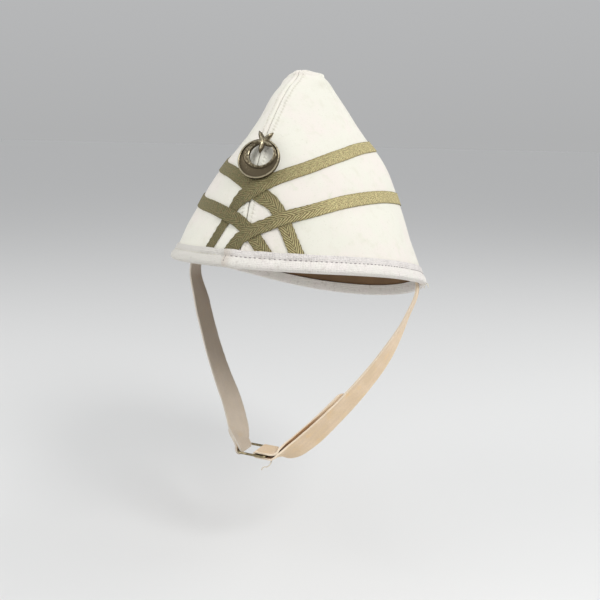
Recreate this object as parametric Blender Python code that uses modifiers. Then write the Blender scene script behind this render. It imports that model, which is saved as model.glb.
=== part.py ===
"""Kabalak cap: two cloth crown panels, olive tapes, a crescent badge, a bound rim and a chin strap.

The frame is the cap as it is worn: +Z up, the front towards -Y, the wearer's left towards +X,
and the origin at the middle of the head opening. Tables and sizes are in millimetres.
"""

import math

import bmesh
import bpy
import numpy as np
from mathutils import Matrix, Vector

MM = 0.001

# Driving sizes
WALL = 2.5
GAP = 0.3
SEAM_HALF_GAP = 0.15
CROWN_TILT = 5.5
NECK_DROP = 37.0
SIDE_LIFT = 1.0
LIFT_FADE = 1.5
TAPE_WIDTH = 10.4
TAPE_THICK = 1.0
TAPE_LANES = 4
TAPE_SPACING = 6.5
TAPE_END = 11.7
GATHERED_SHARE = 0.3
GATHERED_FROM = 56.0
GATHERED_OVER = 26.0
CROSSING_REACH = 9.0
CROSSING_RAMP = 3.5
BINDING_THICK = 1.0
STRAP_WIDTH = 18.0
STRAP_THICK = 1.6
WIRE_RADIUS = 1.0
BADGE_RADIUS = 16.6
WIRE_SIDES = 8
CUTTER_SIZE = 400.0

# The small step, in millimetres or degrees, over which the crown's directions are measured
NUDGE = 0.5

# The crown's level sections: the front and back ends, half the width, where it is widest, and
# how full the section is (2 is an ellipse, less is pointed at the two seams)
CROWN_COLUMNS = ("height", "front", "back", "half_width", "widest_at", "fullness")
CROWN_SECTIONS = (
    (0.0, -117.0, 122.0, 104.5, 1.0, 2.20),
    (31.0, -107.0, 110.0, 91.5, 3.0, 2.10),
    (62.0, -97.0, 98.0, 77.5, 5.0, 1.90),
    (95.0, -82.0, 80.0, 59.5, 6.0, 1.63),
    (122.0, -63.0, 54.0, 38.0, 1.0, 1.60),
    (142.0, -42.5, 29.5, 24.5, -5.0, 1.68),
    (153.0, -27.5, 16.8, 17.5, -13.5, 1.35),
    (157.8, -23.0, 10.5, 9.0, -10.5, 1.30),
    (159.0, -18.5, 9.5, 0.0, -10.5, 1.30),
)
CROWN_HEIGHT = CROWN_SECTIONS[-1][0]
CROWN_ROWS = (0, 9, 18, 27, 37, 47, 57, 67, 78, 89, 100, 110, 120, 129, 137, 144, 150, 155, 157.8, 159)
CROWN_STEPS = 30

# Each tape's route over the crown. The turn is measured in degrees from the front seam towards
# the wearer's left, and the height from the rim, as in the sections.
TAPE_COLUMNS = ("turn", "height")
UPPER_TAPE = (
    (-14.4, 11.6),
    (-11.8, 24.6),
    (-10.5, 31.4),
    (-9.0, 39.4),
    (-5.8, 48.0),
    (0.0, 54.0),
    (12.0, 64.2),
    (22.0, 70.3),
    (31.0, 75.2),
    (40.0, 80.5),
    (54.0, 88.5),
    (70.0, 95.9),
    (102.0, 102.0),
    (180.0, 101.0),
    (258.0, 93.0),
    (290.0, 84.5),
    (319.0, 75.2),
    (343.0, 68.4),
    (354.0, 62.6),
    (366.5, 51.8),
    (373.0, 46.5),
    (376.2, 40.0),
    (379.0, 30.0),
    (383.6, 11.6),
)
LOWER_TAPE = (
    (-3.2, 11.6),
    (-0.8, 19.5),
    (3.0, 25.2),
    (13.0, 33.0),
    (19.0, 36.8),
    (31.0, 43.0),
    (56.0, 54.5),
    (104.0, 62.5),
    (180.0, 64.0),
    (256.0, 57.5),
    (300.0, 49.6),
    (319.0, 45.4),
    (340.0, 41.0),
    (350.0, 36.9),
    (356.0, 33.6),
    (360.3, 29.0),
    (364.8, 22.0),
    (369.7, 11.6),
)

# The rim binding's section, a U over the edge: how far it stands off the outer face, and how
# high it is above the edge
BINDING_COLUMNS = ("out", "up")
BINDING_SECTION = (
    (GAP, 11.4),
    (GAP + BINDING_THICK, 11.4),
    (GAP + BINDING_THICK, 7.0),
    (GAP + 1.8, 5.2),
    (GAP + 1.9, 1.0),
    (0.8, -1.3),
    (-WALL - 0.9, -1.3),
    (-WALL - GAP - 1.5, 0.6),
    (-WALL - GAP - BINDING_THICK, 7.0),
    (-WALL - GAP, 7.0),
    (-WALL - GAP, -GAP),
    (GAP, -GAP),
)
BINDING_STEPS = 2 * CROWN_STEPS

# The buckle is a wire slide that lies level under the chin, its three bars across the strap
BUCKLE_Y = -68.0
BUCKLE_Z = -153.5
LEFT_BAR_X = 4.5
MIDDLE_BAR_X = -4.0
RIGHT_BAR_X = -20.5
RAIL_OFFSET = 10.8
BUCKLE_CORNER = 2.6
LAYER_STEP = WIRE_RADIUS + GAP + STRAP_THICK / 2

# The chin strap's free runs: the middle of the webbing, and the direction of its width from
# the front edge to the back edge. The first row leaves the cap, the last reaches the buckle.
STRAP_COLUMNS = ("x", "y", "z", "across_x", "across_y", "across_z")
STRAP_LEFT = (
    (92.0, 14.0, -46.0, -0.16, 0.90, -0.36),
    (82.5, -8.0, -74.0, 0.14, 0.76, -0.60),
    (68.0, -27.0, -99.0, 0.28, 0.68, -0.68),
    (51.0, -44.5, -122.0, 0.33, 0.60, -0.72),
    (34.0, -57.0, -141.0, 0.36, 0.56, -0.74),
    (24.0, -63.5, -149.5, 0.25, 0.68, -0.68),
    (15.5, -67.0, -154.0, 0.08, 0.90, -0.42),
    (8.5, BUCKLE_Y, BUCKLE_Z - LAYER_STEP, 0.0, 1.0, 0.0),
    (2.5, BUCKLE_Y, BUCKLE_Z - LAYER_STEP, 0.0, 1.0, 0.0),
    (MIDDLE_BAR_X, BUCKLE_Y, BUCKLE_Z - LAYER_STEP, 0.0, 1.0, 0.0),
)
ENTRY_ANGLE = 30.0
RIGHT_ENTRY_X = RIGHT_BAR_X + LAYER_STEP * math.cos(math.radians(ENTRY_ANGLE))
RIGHT_ENTRY_Z = BUCKLE_Z + LAYER_STEP * math.sin(math.radians(ENTRY_ANGLE))
STRAP_RIGHT = (
    (-87.0, -25.0, -41.0, 0.25, 0.93, -0.15),
    (-72.0, -35.0, -71.0, 0.30, 0.93, -0.10),
    (-56.0, -44.0, -98.0, 0.40, 0.90, 0.00),
    (-40.5, -52.0, -121.0, 0.55, 0.83, 0.08),
    (-30.0, -61.0, -136.0, 0.55, 0.83, 0.08),
    (-25.0, -66.0, -142.5, 0.25, 0.97, 0.02),
    (RIGHT_ENTRY_X - 3.0, BUCKLE_Y, RIGHT_ENTRY_Z + 5.2, 0.0, 1.0, 0.0),
    (RIGHT_ENTRY_X, BUCKLE_Y, RIGHT_ENTRY_Z, 0.0, 1.0, 0.0),
)
LEFT_ROOT_TURN = 104.0
RIGHT_ROOT_TURN = -84.0
ROOT_DEPTH = 6.0
ROOT_HEIGHTS = (15.0, 8.0, 1.0)
STRAP_SPACING = 6.0
FOLD_STEPS = 7
TAIL_LENGTH = 96.0
TAIL_SHIFT = 2.1
TAIL_HELD = 11.0
TIP_LENGTH = 8.0
TIP_END_SHARE = 0.45
HEM_LENGTH = 18.0
HEM_HELD = 1.0
CLOSED_LAYERS = STRAP_THICK + 0.45
CLOSING_SHARE = 0.3

# The badge: a crescent that closes into a ring, cast in one with a five-pointed star
BADGE_HEIGHT = 79.0
BADGE_SIDE = 1.9
BADGE_TURN = 7.0
BADGE_STAND_OFF = 2.4
HOLE_RADIUS = 9.6
HOLE_SHIFT = (1.5, 3.5)

# The field of the crescent ends at the foot of the ridge round the hole. The foot is a circle
# that sits high, and it is held inside the lip where it would run over it.
FOOT_RADIUS = 14.3
FOOT_SHIFT = (0.3, 5.8)
FOOT_LIMIT = 14.75
RING_STEPS = 40
RING_COLUMNS = ("from_edge", "to_foot", "to_hole", "height")
RING_SECTION = (
    (0.0, 0.0, 0.0, 0.0),
    (0.0, 0.0, 0.0, 1.8),
    (0.4, 0.0, 0.0, 2.4),
    (1.0, 0.0, 0.0, 2.4),
    (1.4, 0.0, 0.0, 1.4),
    (1.4, 1.0, 0.0, 1.5),
    (1.4, 1.0, 0.15, 2.3),
    (1.4, 1.0, 0.45, 3.0),
    (1.4, 1.0, 0.88, 3.0),
    (1.4, 1.0, 1.0, 2.3),
    (1.4, 1.0, 1.0, 0.0),
)
STAR_PLACE = (0.7, 14.1)

# The radii of one arm's outline, every 12 degrees from its tip: a leaf that narrows at the waist
STAR_ARM = (10.2, 6.8, 4.6, 3.6, 4.6, 6.8)
STAR_ARMS = 5
STAR_TURN = 32.0
STAR_BASE = 1.7
STAR_EDGE = 3.0
STAR_PEAK = 5.6
POST_RADIUS = 1.5
POST_PLACE = (-1.7, -11.0)
POST_REACH = 7.5
POST_HEAD_RADIUS = 5.0
POST_HEAD_THICK = 1.4
POST_SIDES = 16
POST_HEAD_SIDES = 24
BADGE_SHARP_ANGLE = 25.0


def column(table, names, name):
    """One named column of a table."""
    return np.array([row[names.index(name)] for row in table], float)


def smooth(stations, values, at):
    """A smooth curve through values at rising stations, read at the places in `at`.

    A stretch between two equal values stays level.
    """
    stations = np.asarray(stations, float)
    values = np.asarray(values, float)
    steps = np.diff(stations)
    slopes = np.diff(values) / steps
    inner = (slopes[:-1] * steps[1:] + slopes[1:] * steps[:-1]) / (steps[1:] + steps[:-1])
    inner = np.where(slopes[:-1] * slopes[1:] == 0, 0.0, inner)
    tangents = np.concatenate(([slopes[0]], inner, [slopes[-1]]))
    at = np.asarray(at, float)
    i = np.clip(np.searchsorted(stations, at, side="right") - 1, 0, len(steps) - 1)
    u = (at - stations[i]) / steps[i]
    start = values[i] * (1 + 2 * u) * (1 - u) ** 2 + tangents[i] * steps[i] * u * (1 - u) ** 2
    end = values[i + 1] * u**2 * (3 - 2 * u) + tangents[i + 1] * steps[i] * u**2 * (u - 1)
    return start + end


def unit(vectors):
    """Vectors scaled to a length of one."""
    return vectors / np.linalg.norm(vectors, axis=-1, keepdims=True)


def crown_surface(height, turn):
    """Points of the crown's outer face at a height above the rim and a turn in degrees."""
    height = np.clip(height, 0.0, CROWN_HEIGHT)
    heights = column(CROWN_SECTIONS, CROWN_COLUMNS, "height")
    front, back, half_width, widest_at, fullness = (
        smooth(heights, column(CROWN_SECTIONS, CROWN_COLUMNS, name), height)
        for name in CROWN_COLUMNS[1:]
    )
    sine = np.sin(np.radians(turn))
    cosine = np.cos(np.radians(turn))
    power = 2 / fullness
    x = np.maximum(half_width, 0.0) * np.sign(sine) * np.abs(sine) ** power
    reach = np.sign(cosine) * np.abs(cosine) ** power
    y = np.where(cosine >= 0, widest_at - (widest_at - front) * reach, widest_at - (back - widest_at) * reach)
    fade = (1 - height / CROWN_HEIGHT) ** LIFT_FADE
    z = height + fade * (SIDE_LIFT * sine**2 - NECK_DROP * ((1 - cosine) / 2) ** 2)
    tilt = math.radians(CROWN_TILT)
    tilted_y = y * math.cos(tilt) + z * math.sin(tilt)
    tilted_z = z * math.cos(tilt) - y * math.sin(tilt)
    return np.stack(np.broadcast_arrays(x, tilted_y, tilted_z), axis=-1)


def crown_frame(height, turn):
    """A point on the crown with its round, up and outward directions."""
    point = crown_surface(height, turn)
    low = np.maximum(height - NUDGE, 0.0)
    high = np.minimum(height + NUDGE, CROWN_HEIGHT)
    around = unit(crown_surface(height, turn + NUDGE) - crown_surface(height, turn - NUDGE))
    up = unit(crown_surface(high, turn) - crown_surface(low, turn))
    return point, around, up, unit(np.cross(around, up))


def crown_offset(height, turn, out):
    """A point that stands off the crown's outer face, or goes straight on below its edge."""
    point, _, up, outward = crown_frame(np.maximum(height, 0.0), turn)
    below = np.minimum(height, 0.0)
    return point + outward * np.expand_dims(out, -1) + up * np.expand_dims(below, -1)


def material(name, colour, roughness, metallic=0.0):
    made = bpy.data.materials.new(name)
    made.use_nodes = True
    shader = made.node_tree.nodes["Principled BSDF"]
    shader.inputs["Base Color"].default_value = (*colour, 1.0)
    shader.inputs["Roughness"].default_value = roughness
    shader.inputs["Metallic"].default_value = metallic
    return made


def object_from(name, bm, collection, finish=None):
    """A mesh object from a bmesh whose sizes are in millimetres."""
    bmesh.ops.scale(bm, vec=(MM, MM, MM), verts=bm.verts)
    mesh = bpy.data.meshes.new(name)
    bm.to_mesh(mesh)
    bm.free()
    if finish is not None:
        mesh.materials.append(finish)
    made = bpy.data.objects.new(name, mesh)
    collection.objects.link(made)
    return made


def smooth_shading(made, angle=40.0):
    made.data.shade_smooth()
    made.data.set_sharp_from_angle(angle=math.radians(angle))


def loft(bm, sections, closed_path=False, closed_section=True):
    """Faces between a row of like sections, with the two ends capped unless the path closes."""
    rings = [[bm.verts.new(point) for point in section] for section in sections]
    pairs = list(zip(rings, rings[1:]))
    if closed_path:
        pairs.append((rings[-1], rings[0]))
    count = len(rings[0])
    for ring, following in pairs:
        for i in range(count if closed_section else count - 1):
            j = (i + 1) % count
            bm.faces.new((ring[i], ring[j], following[j], following[i]))
    if closed_section and not closed_path:
        bm.faces.new(rings[0][::-1])
        bm.faces.new(rings[-1])
    bmesh.ops.recalc_face_normals(bm, faces=bm.faces)


def boolean(made, cutter, operation="DIFFERENCE"):
    modifier = made.modifiers.new(cutter.name, "BOOLEAN")
    modifier.operation = operation
    modifier.object = cutter


def as_guide(made):
    made.hide_render = True
    made.display_type = "WIRE"


def half_space_cutter(side, cutters):
    """A box over the other half of the cap, which trims a panel at the seam."""
    bm = bmesh.new()
    bmesh.ops.create_cube(bm, size=CUTTER_SIZE)
    shift = side * (SEAM_HALF_GAP - CUTTER_SIZE / 2)
    bmesh.ops.translate(bm, vec=(shift, 0.0, 0.0), verts=bm.verts)
    cutter = object_from("seam_cutter_left" if side > 0 else "seam_cutter_right", bm, cutters)
    as_guide(cutter)
    return cutter


def crown_panel(name, side, cutters, post_hole, collection, finish):
    """One side of the crown: an open cloth surface with a wall, trimmed at the seam."""
    turns = side * np.linspace(0.0, 180.0, CROWN_STEPS + 1)
    rows = [crown_surface(np.full(turns.shape, height), turns) for height in CROWN_ROWS]
    bm = bmesh.new()
    loft(bm, rows, closed_section=False)
    side_face = bm.faces[:][len(bm.faces) // 4]
    if side_face.normal.x * side < 0:
        bmesh.ops.reverse_faces(bm, faces=bm.faces)
    panel = object_from(name, bm, collection, finish)
    wall = panel.modifiers.new("wall", "SOLIDIFY")
    wall.thickness = WALL * MM
    wall.offset = -1.0
    wall.use_even_offset = True
    boolean(panel, half_space_cutter(side, cutters))
    boolean(panel, post_hole)
    smooth_shading(panel)
    return panel


def route(table, spacing):
    """Points of a tape's route, as turns and heights, about `spacing` apart along the cloth."""
    turns = column(table, TAPE_COLUMNS, "turn")
    heights = column(table, TAPE_COLUMNS, "height")
    points = crown_surface(heights, turns)
    length = np.concatenate(([0.0], np.cumsum(np.linalg.norm(np.diff(points, axis=0), axis=1))))
    fine = np.linspace(0.0, length[-1], 40 * len(table))
    fine_points = crown_surface(smooth(length, heights, fine), smooth(length, turns, fine))
    travelled = np.concatenate(([0.0], np.cumsum(np.linalg.norm(np.diff(fine_points, axis=0), axis=1))))
    count = int(round(travelled[-1] / spacing)) + 1
    at = np.interp(np.linspace(0.0, travelled[-1], count), travelled, fine)
    return smooth(length, turns, at), smooth(length, heights, at)


def meeting(first, second):
    """The point where two lines of points cross: the middle of their closest pair."""
    distance = np.linalg.norm(first[:, None] - second[None], axis=2)
    i, j = np.unravel_index(np.argmin(distance), distance.shape)
    return (first[i] + second[j]) / 2


def tape_crossings():
    """Where the ends of the two tapes cross, as the points that each end has to pass over."""
    upper, lower = (
        crown_surface(heights, turns)
        for turns, heights in (route(UPPER_TAPE, 1.0), route(LOWER_TAPE, 1.0))
    )
    upper_first, upper_last = upper[: len(upper) // 3], upper[-len(upper) // 3 :]
    lower_first, lower_last = lower[: len(lower) // 3], lower[-len(lower) // 3 :]
    return {
        "upper_first": (meeting(upper_first, upper_last),),
        "upper_last": (),
        "lower_first": (meeting(lower_first, lower_last), meeting(lower_first, upper_last)),
        "lower_last": (meeting(lower_last, upper_first),),
    }


def raised_share(points, crossings):
    """How much of a layer each point is raised by, near the crossings that it passes over."""
    raised = np.zeros(len(points))
    for crossing in crossings:
        distance = np.linalg.norm(points - crossing, axis=1)
        share = np.clip((CROSSING_REACH + CROSSING_RAMP - distance) / CROSSING_RAMP, 0.0, 1.0)
        raised = np.maximum(raised, share * share * (3 - 2 * share))
    return raised


def tape_lift(points, over_first, over_last):
    """How far each point of a tape stands off the crown; its two ends cross different things."""
    half = len(points) // 2
    raised = np.concatenate((raised_share(points[:half], over_first), raised_share(points[half:], over_last)))
    return GAP + raised * (TAPE_THICK + GAP)


def lane_shares(heights, turns, along):
    """The change of turn and of height that moves a point 1 mm across its tape."""
    _, around, up, outward = crown_frame(heights, turns)
    across = np.cross(outward, along)
    before, after = crown_surface(heights, turns - NUDGE), crown_surface(heights, turns + NUDGE)
    below, above = crown_surface(heights - NUDGE, turns), crown_surface(heights + NUDGE, turns)
    around_step = np.linalg.norm(after - before, axis=1) / (2 * NUDGE)
    up_step = np.linalg.norm(above - below, axis=1) / (2 * NUDGE)
    skew = np.sum(around * up, axis=1)
    along_round = np.sum(across * around, axis=1)
    along_up = np.sum(across * up, axis=1)
    turn_share = (along_round - skew * along_up) / (1 - skew**2) / around_step
    height_share = (along_up - skew * along_round) / (1 - skew**2) / up_step
    return turn_share, height_share


def kept_width(centres, gathered):
    """The share of its width that a tape keeps near its first end, where it may be gathered."""
    steps = np.linalg.norm(np.diff(centres, axis=0), axis=1)
    travelled = np.concatenate(([0.0], np.cumsum(steps)))
    to_full = (GATHERED_FROM - travelled) / GATHERED_OVER
    share = np.clip(to_full, 0.0, 1.0)
    return 1 - gathered * share * share * (3 - 2 * share)


def tape(name, table, over_first, over_last, collection, finish, gathered=0.0):
    """A flat tape laid on the crown along its route, raised where it passes over another."""
    turns, heights = route(table, TAPE_SPACING)
    centres = crown_surface(heights, turns)
    turn_share, height_share = lane_shares(heights, turns, unit(np.gradient(centres, axis=0)))
    kept = kept_width(centres, gathered)
    turn_share, height_share = turn_share * kept, height_share * kept
    lift = tape_lift(centres, over_first, over_last)
    lanes = np.linspace(-TAPE_WIDTH / 2, TAPE_WIDTH / 2, TAPE_LANES)
    under, over = (
        [
            crown_offset(np.maximum(heights + lane * height_share, TAPE_END), turns + lane * turn_share, stand_off)
            for lane in lanes
        ]
        for stand_off in (lift, lift + TAPE_THICK)
    )
    sections = [
        [lane[i] for lane in under] + [lane[i] for lane in over[::-1]]
        for i in range(len(turns))
    ]
    bm = bmesh.new()
    loft(bm, sections)
    made = object_from(name, bm, collection, finish)
    smooth_shading(made)
    return made


def rim_binding(collection, finish):
    """The tape folded over the cloth's edge, one closed ring."""
    out = column(BINDING_SECTION, BINDING_COLUMNS, "out")
    up = column(BINDING_SECTION, BINDING_COLUMNS, "up")
    turns = np.arange(BINDING_STEPS) * 360.0 / BINDING_STEPS
    sections = [crown_offset(up, np.full(up.shape, turn), out) for turn in turns]
    bm = bmesh.new()
    loft(bm, sections, closed_path=True)
    made = object_from("rim_binding", bm, collection, finish)
    smooth_shading(made)
    return made


def strap_root(turn):
    """The sewn end of a strap, flat against the inside of the binding, from the top down."""
    rows = []
    for height in ROOT_HEIGHTS:
        point, around, _, outward = crown_frame(np.array(height), np.array(turn))
        centre = point - outward * ROOT_DEPTH
        rows.append((*centre, *(around * np.sign(around[1]))))
    return tuple(rows)


def strap_route(rows, straight):
    """Middle points and width directions along a strap, whose last rows are a straight run."""
    stations = np.array(rows, float)
    length = np.concatenate(([0.0], np.cumsum(np.linalg.norm(np.diff(stations[:, :3], axis=0), axis=1))))
    free = length[-straight]
    at = np.linspace(0.0, free, int(round(free / STRAP_SPACING)) + 1)
    at = np.concatenate((at, length[len(length) - straight + 1 :]))
    read = np.stack([smooth(length, stations[:, i], at) for i in range(6)], axis=1)
    return read[:, :3], unit(read[:, 3:])


def turn_round(centre_x, start, sweep):
    """The strap's fold round a bar, as angles in the X-Z plane about the bar's middle."""
    angles = np.radians(np.linspace(start, start + sweep, FOLD_STEPS + 1))[1:]
    points = np.stack([
        centre_x + LAYER_STEP * np.cos(angles),
        np.full(angles.shape, BUCKLE_Y),
        BUCKLE_Z + LAYER_STEP * np.sin(angles),
    ], axis=1)
    return points, np.tile((0.0, 1.0, 0.0), (len(angles), 1))


def laid_back(centres, acrosses, side, length, held, shift=0.0):
    """A layer that lies back along the end of a run, closing on it once it is clear of the bar."""
    back = centres[::-1]
    across = acrosses[::-1]
    along = unit(np.gradient(back, axis=0))
    normal = unit(np.cross(along, across)) * side
    travelled = np.concatenate(([0.0], np.cumsum(np.linalg.norm(np.diff(back, axis=0), axis=1))))
    share = np.clip((travelled - held) / (CLOSING_SHARE * length), 0.0, 1.0)
    share = share * share * (3 - 2 * share)
    apart = 2 * LAYER_STEP + share * (CLOSED_LAYERS - 2 * LAYER_STEP)
    layer = back + normal * apart[:, None] - across * (share * shift)[:, None]
    kept = (travelled > 0.0) & (travelled <= length)
    return layer[kept], across[kept]


def webbing(name, centres, acrosses, tip, collection, finish):
    """A flat strap along its middle line, its last stretch rounded where it has a tip."""
    along = unit(np.gradient(centres, axis=0))
    acrosses = unit(acrosses - along * np.sum(acrosses * along, axis=1, keepdims=True))
    normal = np.cross(along, acrosses)
    travelled = np.cumsum(np.linalg.norm(np.diff(centres, axis=0), axis=1))
    to_end = np.concatenate(([travelled[-1]], travelled[-1] - travelled))
    half = np.full(len(centres), STRAP_WIDTH / 2)
    if tip:
        half *= np.sqrt(np.clip(1 - (1 - to_end / tip) ** 2 * (to_end < tip), TIP_END_SHARE**2, 1.0))
    wide = acrosses * half[:, None]
    thick = normal * STRAP_THICK / 2
    sections = zip(centres - wide - thick, centres + wide - thick, centres + wide + thick, centres - wide + thick)
    bm = bmesh.new()
    loft(bm, list(sections))
    made = object_from(name, bm, collection, finish)
    smooth_shading(made)
    return made


def chin_strap_left(collection, finish):
    """The long strap: under the buckle's first bar, round the middle bar and back as a tail."""
    centres, acrosses = strap_route(strap_root(LEFT_ROOT_TURN) + STRAP_LEFT, 3)
    fold, fold_across = turn_round(MIDDLE_BAR_X, -90.0, -180.0)
    tail, tail_across = laid_back(centres, acrosses, 1.0, TAIL_LENGTH, TAIL_HELD, TAIL_SHIFT)
    points = np.concatenate((centres, fold, tail))
    across = np.concatenate((acrosses, fold_across, tail_across))
    return webbing("chin_strap_left", points, across, TIP_LENGTH, collection, finish)


def chin_strap_right(collection, finish):
    """The short strap: down through the slide, round its end bar and back as a sewn hem."""
    centres, acrosses = strap_route(strap_root(RIGHT_ROOT_TURN) + STRAP_RIGHT, 2)
    fold, fold_across = turn_round(RIGHT_BAR_X, ENTRY_ANGLE, -180.0)
    hem, hem_across = laid_back(centres, acrosses, 1.0, HEM_LENGTH, HEM_HELD)
    points = np.concatenate((centres, fold, hem))
    across = np.concatenate((acrosses, fold_across, hem_across))
    return webbing("chin_strap_right", points, across, 0.0, collection, finish)


def buckle_frame_points():
    """The rounded rectangle that the slide's wire follows."""
    middle_x = (LEFT_BAR_X + RIGHT_BAR_X) / 2
    reach_x = (LEFT_BAR_X - RIGHT_BAR_X) / 2 - BUCKLE_CORNER
    reach_y = RAIL_OFFSET - BUCKLE_CORNER
    points = []
    for quarter, (x, y) in enumerate(((1, 1), (-1, 1), (-1, -1), (1, -1))):
        for step in range(4):
            angle = math.radians(90 * quarter + 30 * step)
            points.append((
                middle_x + x * reach_x + BUCKLE_CORNER * math.cos(angle),
                BUCKLE_Y + y * reach_y + BUCKLE_CORNER * math.sin(angle),
                BUCKLE_Z,
            ))
    return points


def buckle(collection, cutters, finish):
    """The wire slide: a closed frame with its middle bar soldered across it."""
    curve = bpy.data.curves.new("buckle_wire", "CURVE")
    curve.dimensions = "3D"
    curve.bevel_depth = WIRE_RADIUS * MM
    curve.bevel_resolution = WIRE_SIDES // 2 - 2
    spline = curve.splines.new("POLY")
    points = buckle_frame_points()
    spline.points.add(len(points) - 1)
    for spot, point in zip(spline.points, points):
        spot.co = (*(Vector(point) * MM), 1.0)
    spline.use_cyclic_u = True
    wire = bpy.data.objects.new("buckle_wire", curve)
    collection.objects.link(wire)
    bpy.context.view_layer.update()
    graph = bpy.context.evaluated_depsgraph_get()
    mesh = bpy.data.meshes.new_from_object(wire.evaluated_get(graph))
    bpy.data.objects.remove(wire)
    bm = bmesh.new()
    bm.from_mesh(mesh)
    bmesh.ops.remove_doubles(bm, verts=bm.verts, dist=0.01 * MM)
    bm.to_mesh(mesh)
    bm.free()
    frame = bpy.data.objects.new("buckle", mesh)
    mesh.materials.clear()
    mesh.materials.append(finish)
    collection.objects.link(frame)
    bm = bmesh.new()
    bmesh.ops.create_cone(
        bm, cap_ends=True, segments=WIRE_SIDES, radius1=WIRE_RADIUS, radius2=WIRE_RADIUS, depth=2 * RAIL_OFFSET
    )
    bmesh.ops.rotate(bm, matrix=Matrix.Rotation(math.radians(90), 3, "X"), verts=bm.verts)
    bmesh.ops.translate(bm, vec=(MIDDLE_BAR_X, BUCKLE_Y, BUCKLE_Z), verts=bm.verts)
    bar = object_from("middle_bar", bm, cutters)
    as_guide(bar)
    boolean(frame, bar, "UNION")
    smooth_shading(frame)
    return frame


def badge_frame():
    """The badge's own axes, near the seam: across, up the cloth and out, turned a little to the left."""
    point, around, up, outward = crown_frame(np.array(BADGE_HEIGHT), np.array(0.0))
    axes = Matrix((Vector(around), Vector(up), Vector(outward))).transposed()
    place = Vector(point) + Vector(outward) * BADGE_STAND_OFF + Vector(around) * BADGE_SIDE
    turn = Matrix.Rotation(math.radians(BADGE_TURN), 4, "Y")
    return Matrix.Translation(place) @ axes.to_4x4() @ turn


def foot_point(direction):
    """The foot of the ridge round the hole, in one direction from the badge's middle."""
    along = direction @ np.array(FOOT_SHIFT)
    reach = along + math.sqrt(FOOT_RADIUS**2 - math.hypot(*FOOT_SHIFT) ** 2 + along**2)
    return direction * min(reach, FOOT_LIMIT)


def badge_ring(collection, finish):
    """The crescent: a lip, a sunk field that is widest below, and a ridge round the high hole."""
    from_edge, to_foot, to_hole, height = (
        column(RING_SECTION, RING_COLUMNS, name) for name in RING_COLUMNS
    )
    sections = []
    for step in range(RING_STEPS):
        angle = 2 * math.pi * step / RING_STEPS
        direction = np.array((math.cos(angle), math.sin(angle)))
        start = np.outer(BADGE_RADIUS - from_edge, direction)
        hole = np.array(HOLE_SHIFT) + direction * HOLE_RADIUS
        place = start + (foot_point(direction) - start) * to_foot[:, None]
        place = place + (hole - place) * to_hole[:, None]
        sections.append(np.column_stack((place, height)))
    bm = bmesh.new()
    loft(bm, sections, closed_path=True)
    bmesh.ops.transform(bm, matrix=badge_frame(), verts=bm.verts)
    return object_from("badge", bm, collection, finish)


def badge_star(cutters):
    """The star, with a ridge along each point, which is cast over the top of the ring."""
    bm = bmesh.new()
    outline = []
    steps = STAR_ARMS * len(STAR_ARM)
    for step in range(steps):
        angle = math.radians(90 + STAR_TURN + 360 * step / steps)
        radius = STAR_ARM[step % len(STAR_ARM)]
        spot = (STAR_PLACE[0] + radius * math.cos(angle), STAR_PLACE[1] + radius * math.sin(angle), STAR_BASE)
        outline.append(bm.verts.new(spot))
    base = bm.faces.new(outline[::-1])
    raised = bmesh.ops.extrude_face_region(bm, geom=[base], use_keep_orig=True)
    top_verts = [item for item in raised["geom"] if isinstance(item, bmesh.types.BMVert)]
    bmesh.ops.translate(bm, vec=(0.0, 0.0, STAR_EDGE - STAR_BASE), verts=top_verts)
    top = [item for item in raised["geom"] if isinstance(item, bmesh.types.BMFace)]
    poked = bmesh.ops.poke(bm, faces=top)
    peak = poked["verts"][0]
    peak.co = (*STAR_PLACE, STAR_PEAK)
    bmesh.ops.recalc_face_normals(bm, faces=bm.faces)
    bmesh.ops.transform(bm, matrix=badge_frame(), verts=bm.verts)
    star = object_from("badge_star", bm, cutters)
    as_guide(star)
    return star


def badge(collection, cutters, finish):
    ring = badge_ring(collection, finish)
    boolean(ring, badge_star(cutters), "UNION")
    smooth_shading(ring, BADGE_SHARP_ANGLE)
    return ring


def cylinder(radius, low, high, sides):
    """A round bar behind the badge, between two depths along the badge's outward axis."""
    bm = bmesh.new()
    bmesh.ops.create_cone(bm, cap_ends=True, segments=sides, radius1=radius, radius2=radius, depth=high - low)
    bmesh.ops.translate(bm, vec=(*POST_PLACE, (low + high) / 2), verts=bm.verts)
    bmesh.ops.transform(bm, matrix=badge_frame(), verts=bm.verts)
    return bm


def post_hole_cutter(cutters):
    bm = cylinder(POST_RADIUS + GAP, -2 * POST_REACH, POST_REACH, POST_SIDES)
    hole = object_from("post_hole_cutter", bm, cutters)
    as_guide(hole)
    return hole


def badge_post(collection, cutters, finish):
    """The hidden post that holds the badge through the front seam, with its flat head inside."""
    bar = cylinder(POST_RADIUS, -POST_REACH, -GAP, POST_SIDES)
    post = object_from("badge_post", bar, collection, finish)
    low = -POST_REACH - POST_HEAD_THICK / 2
    high = -POST_REACH + POST_HEAD_THICK / 2
    head = object_from("post_head", cylinder(POST_HEAD_RADIUS, low, high, POST_HEAD_SIDES), cutters)
    as_guide(head)
    boolean(post, head, "UNION")
    smooth_shading(post)
    return post


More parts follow.
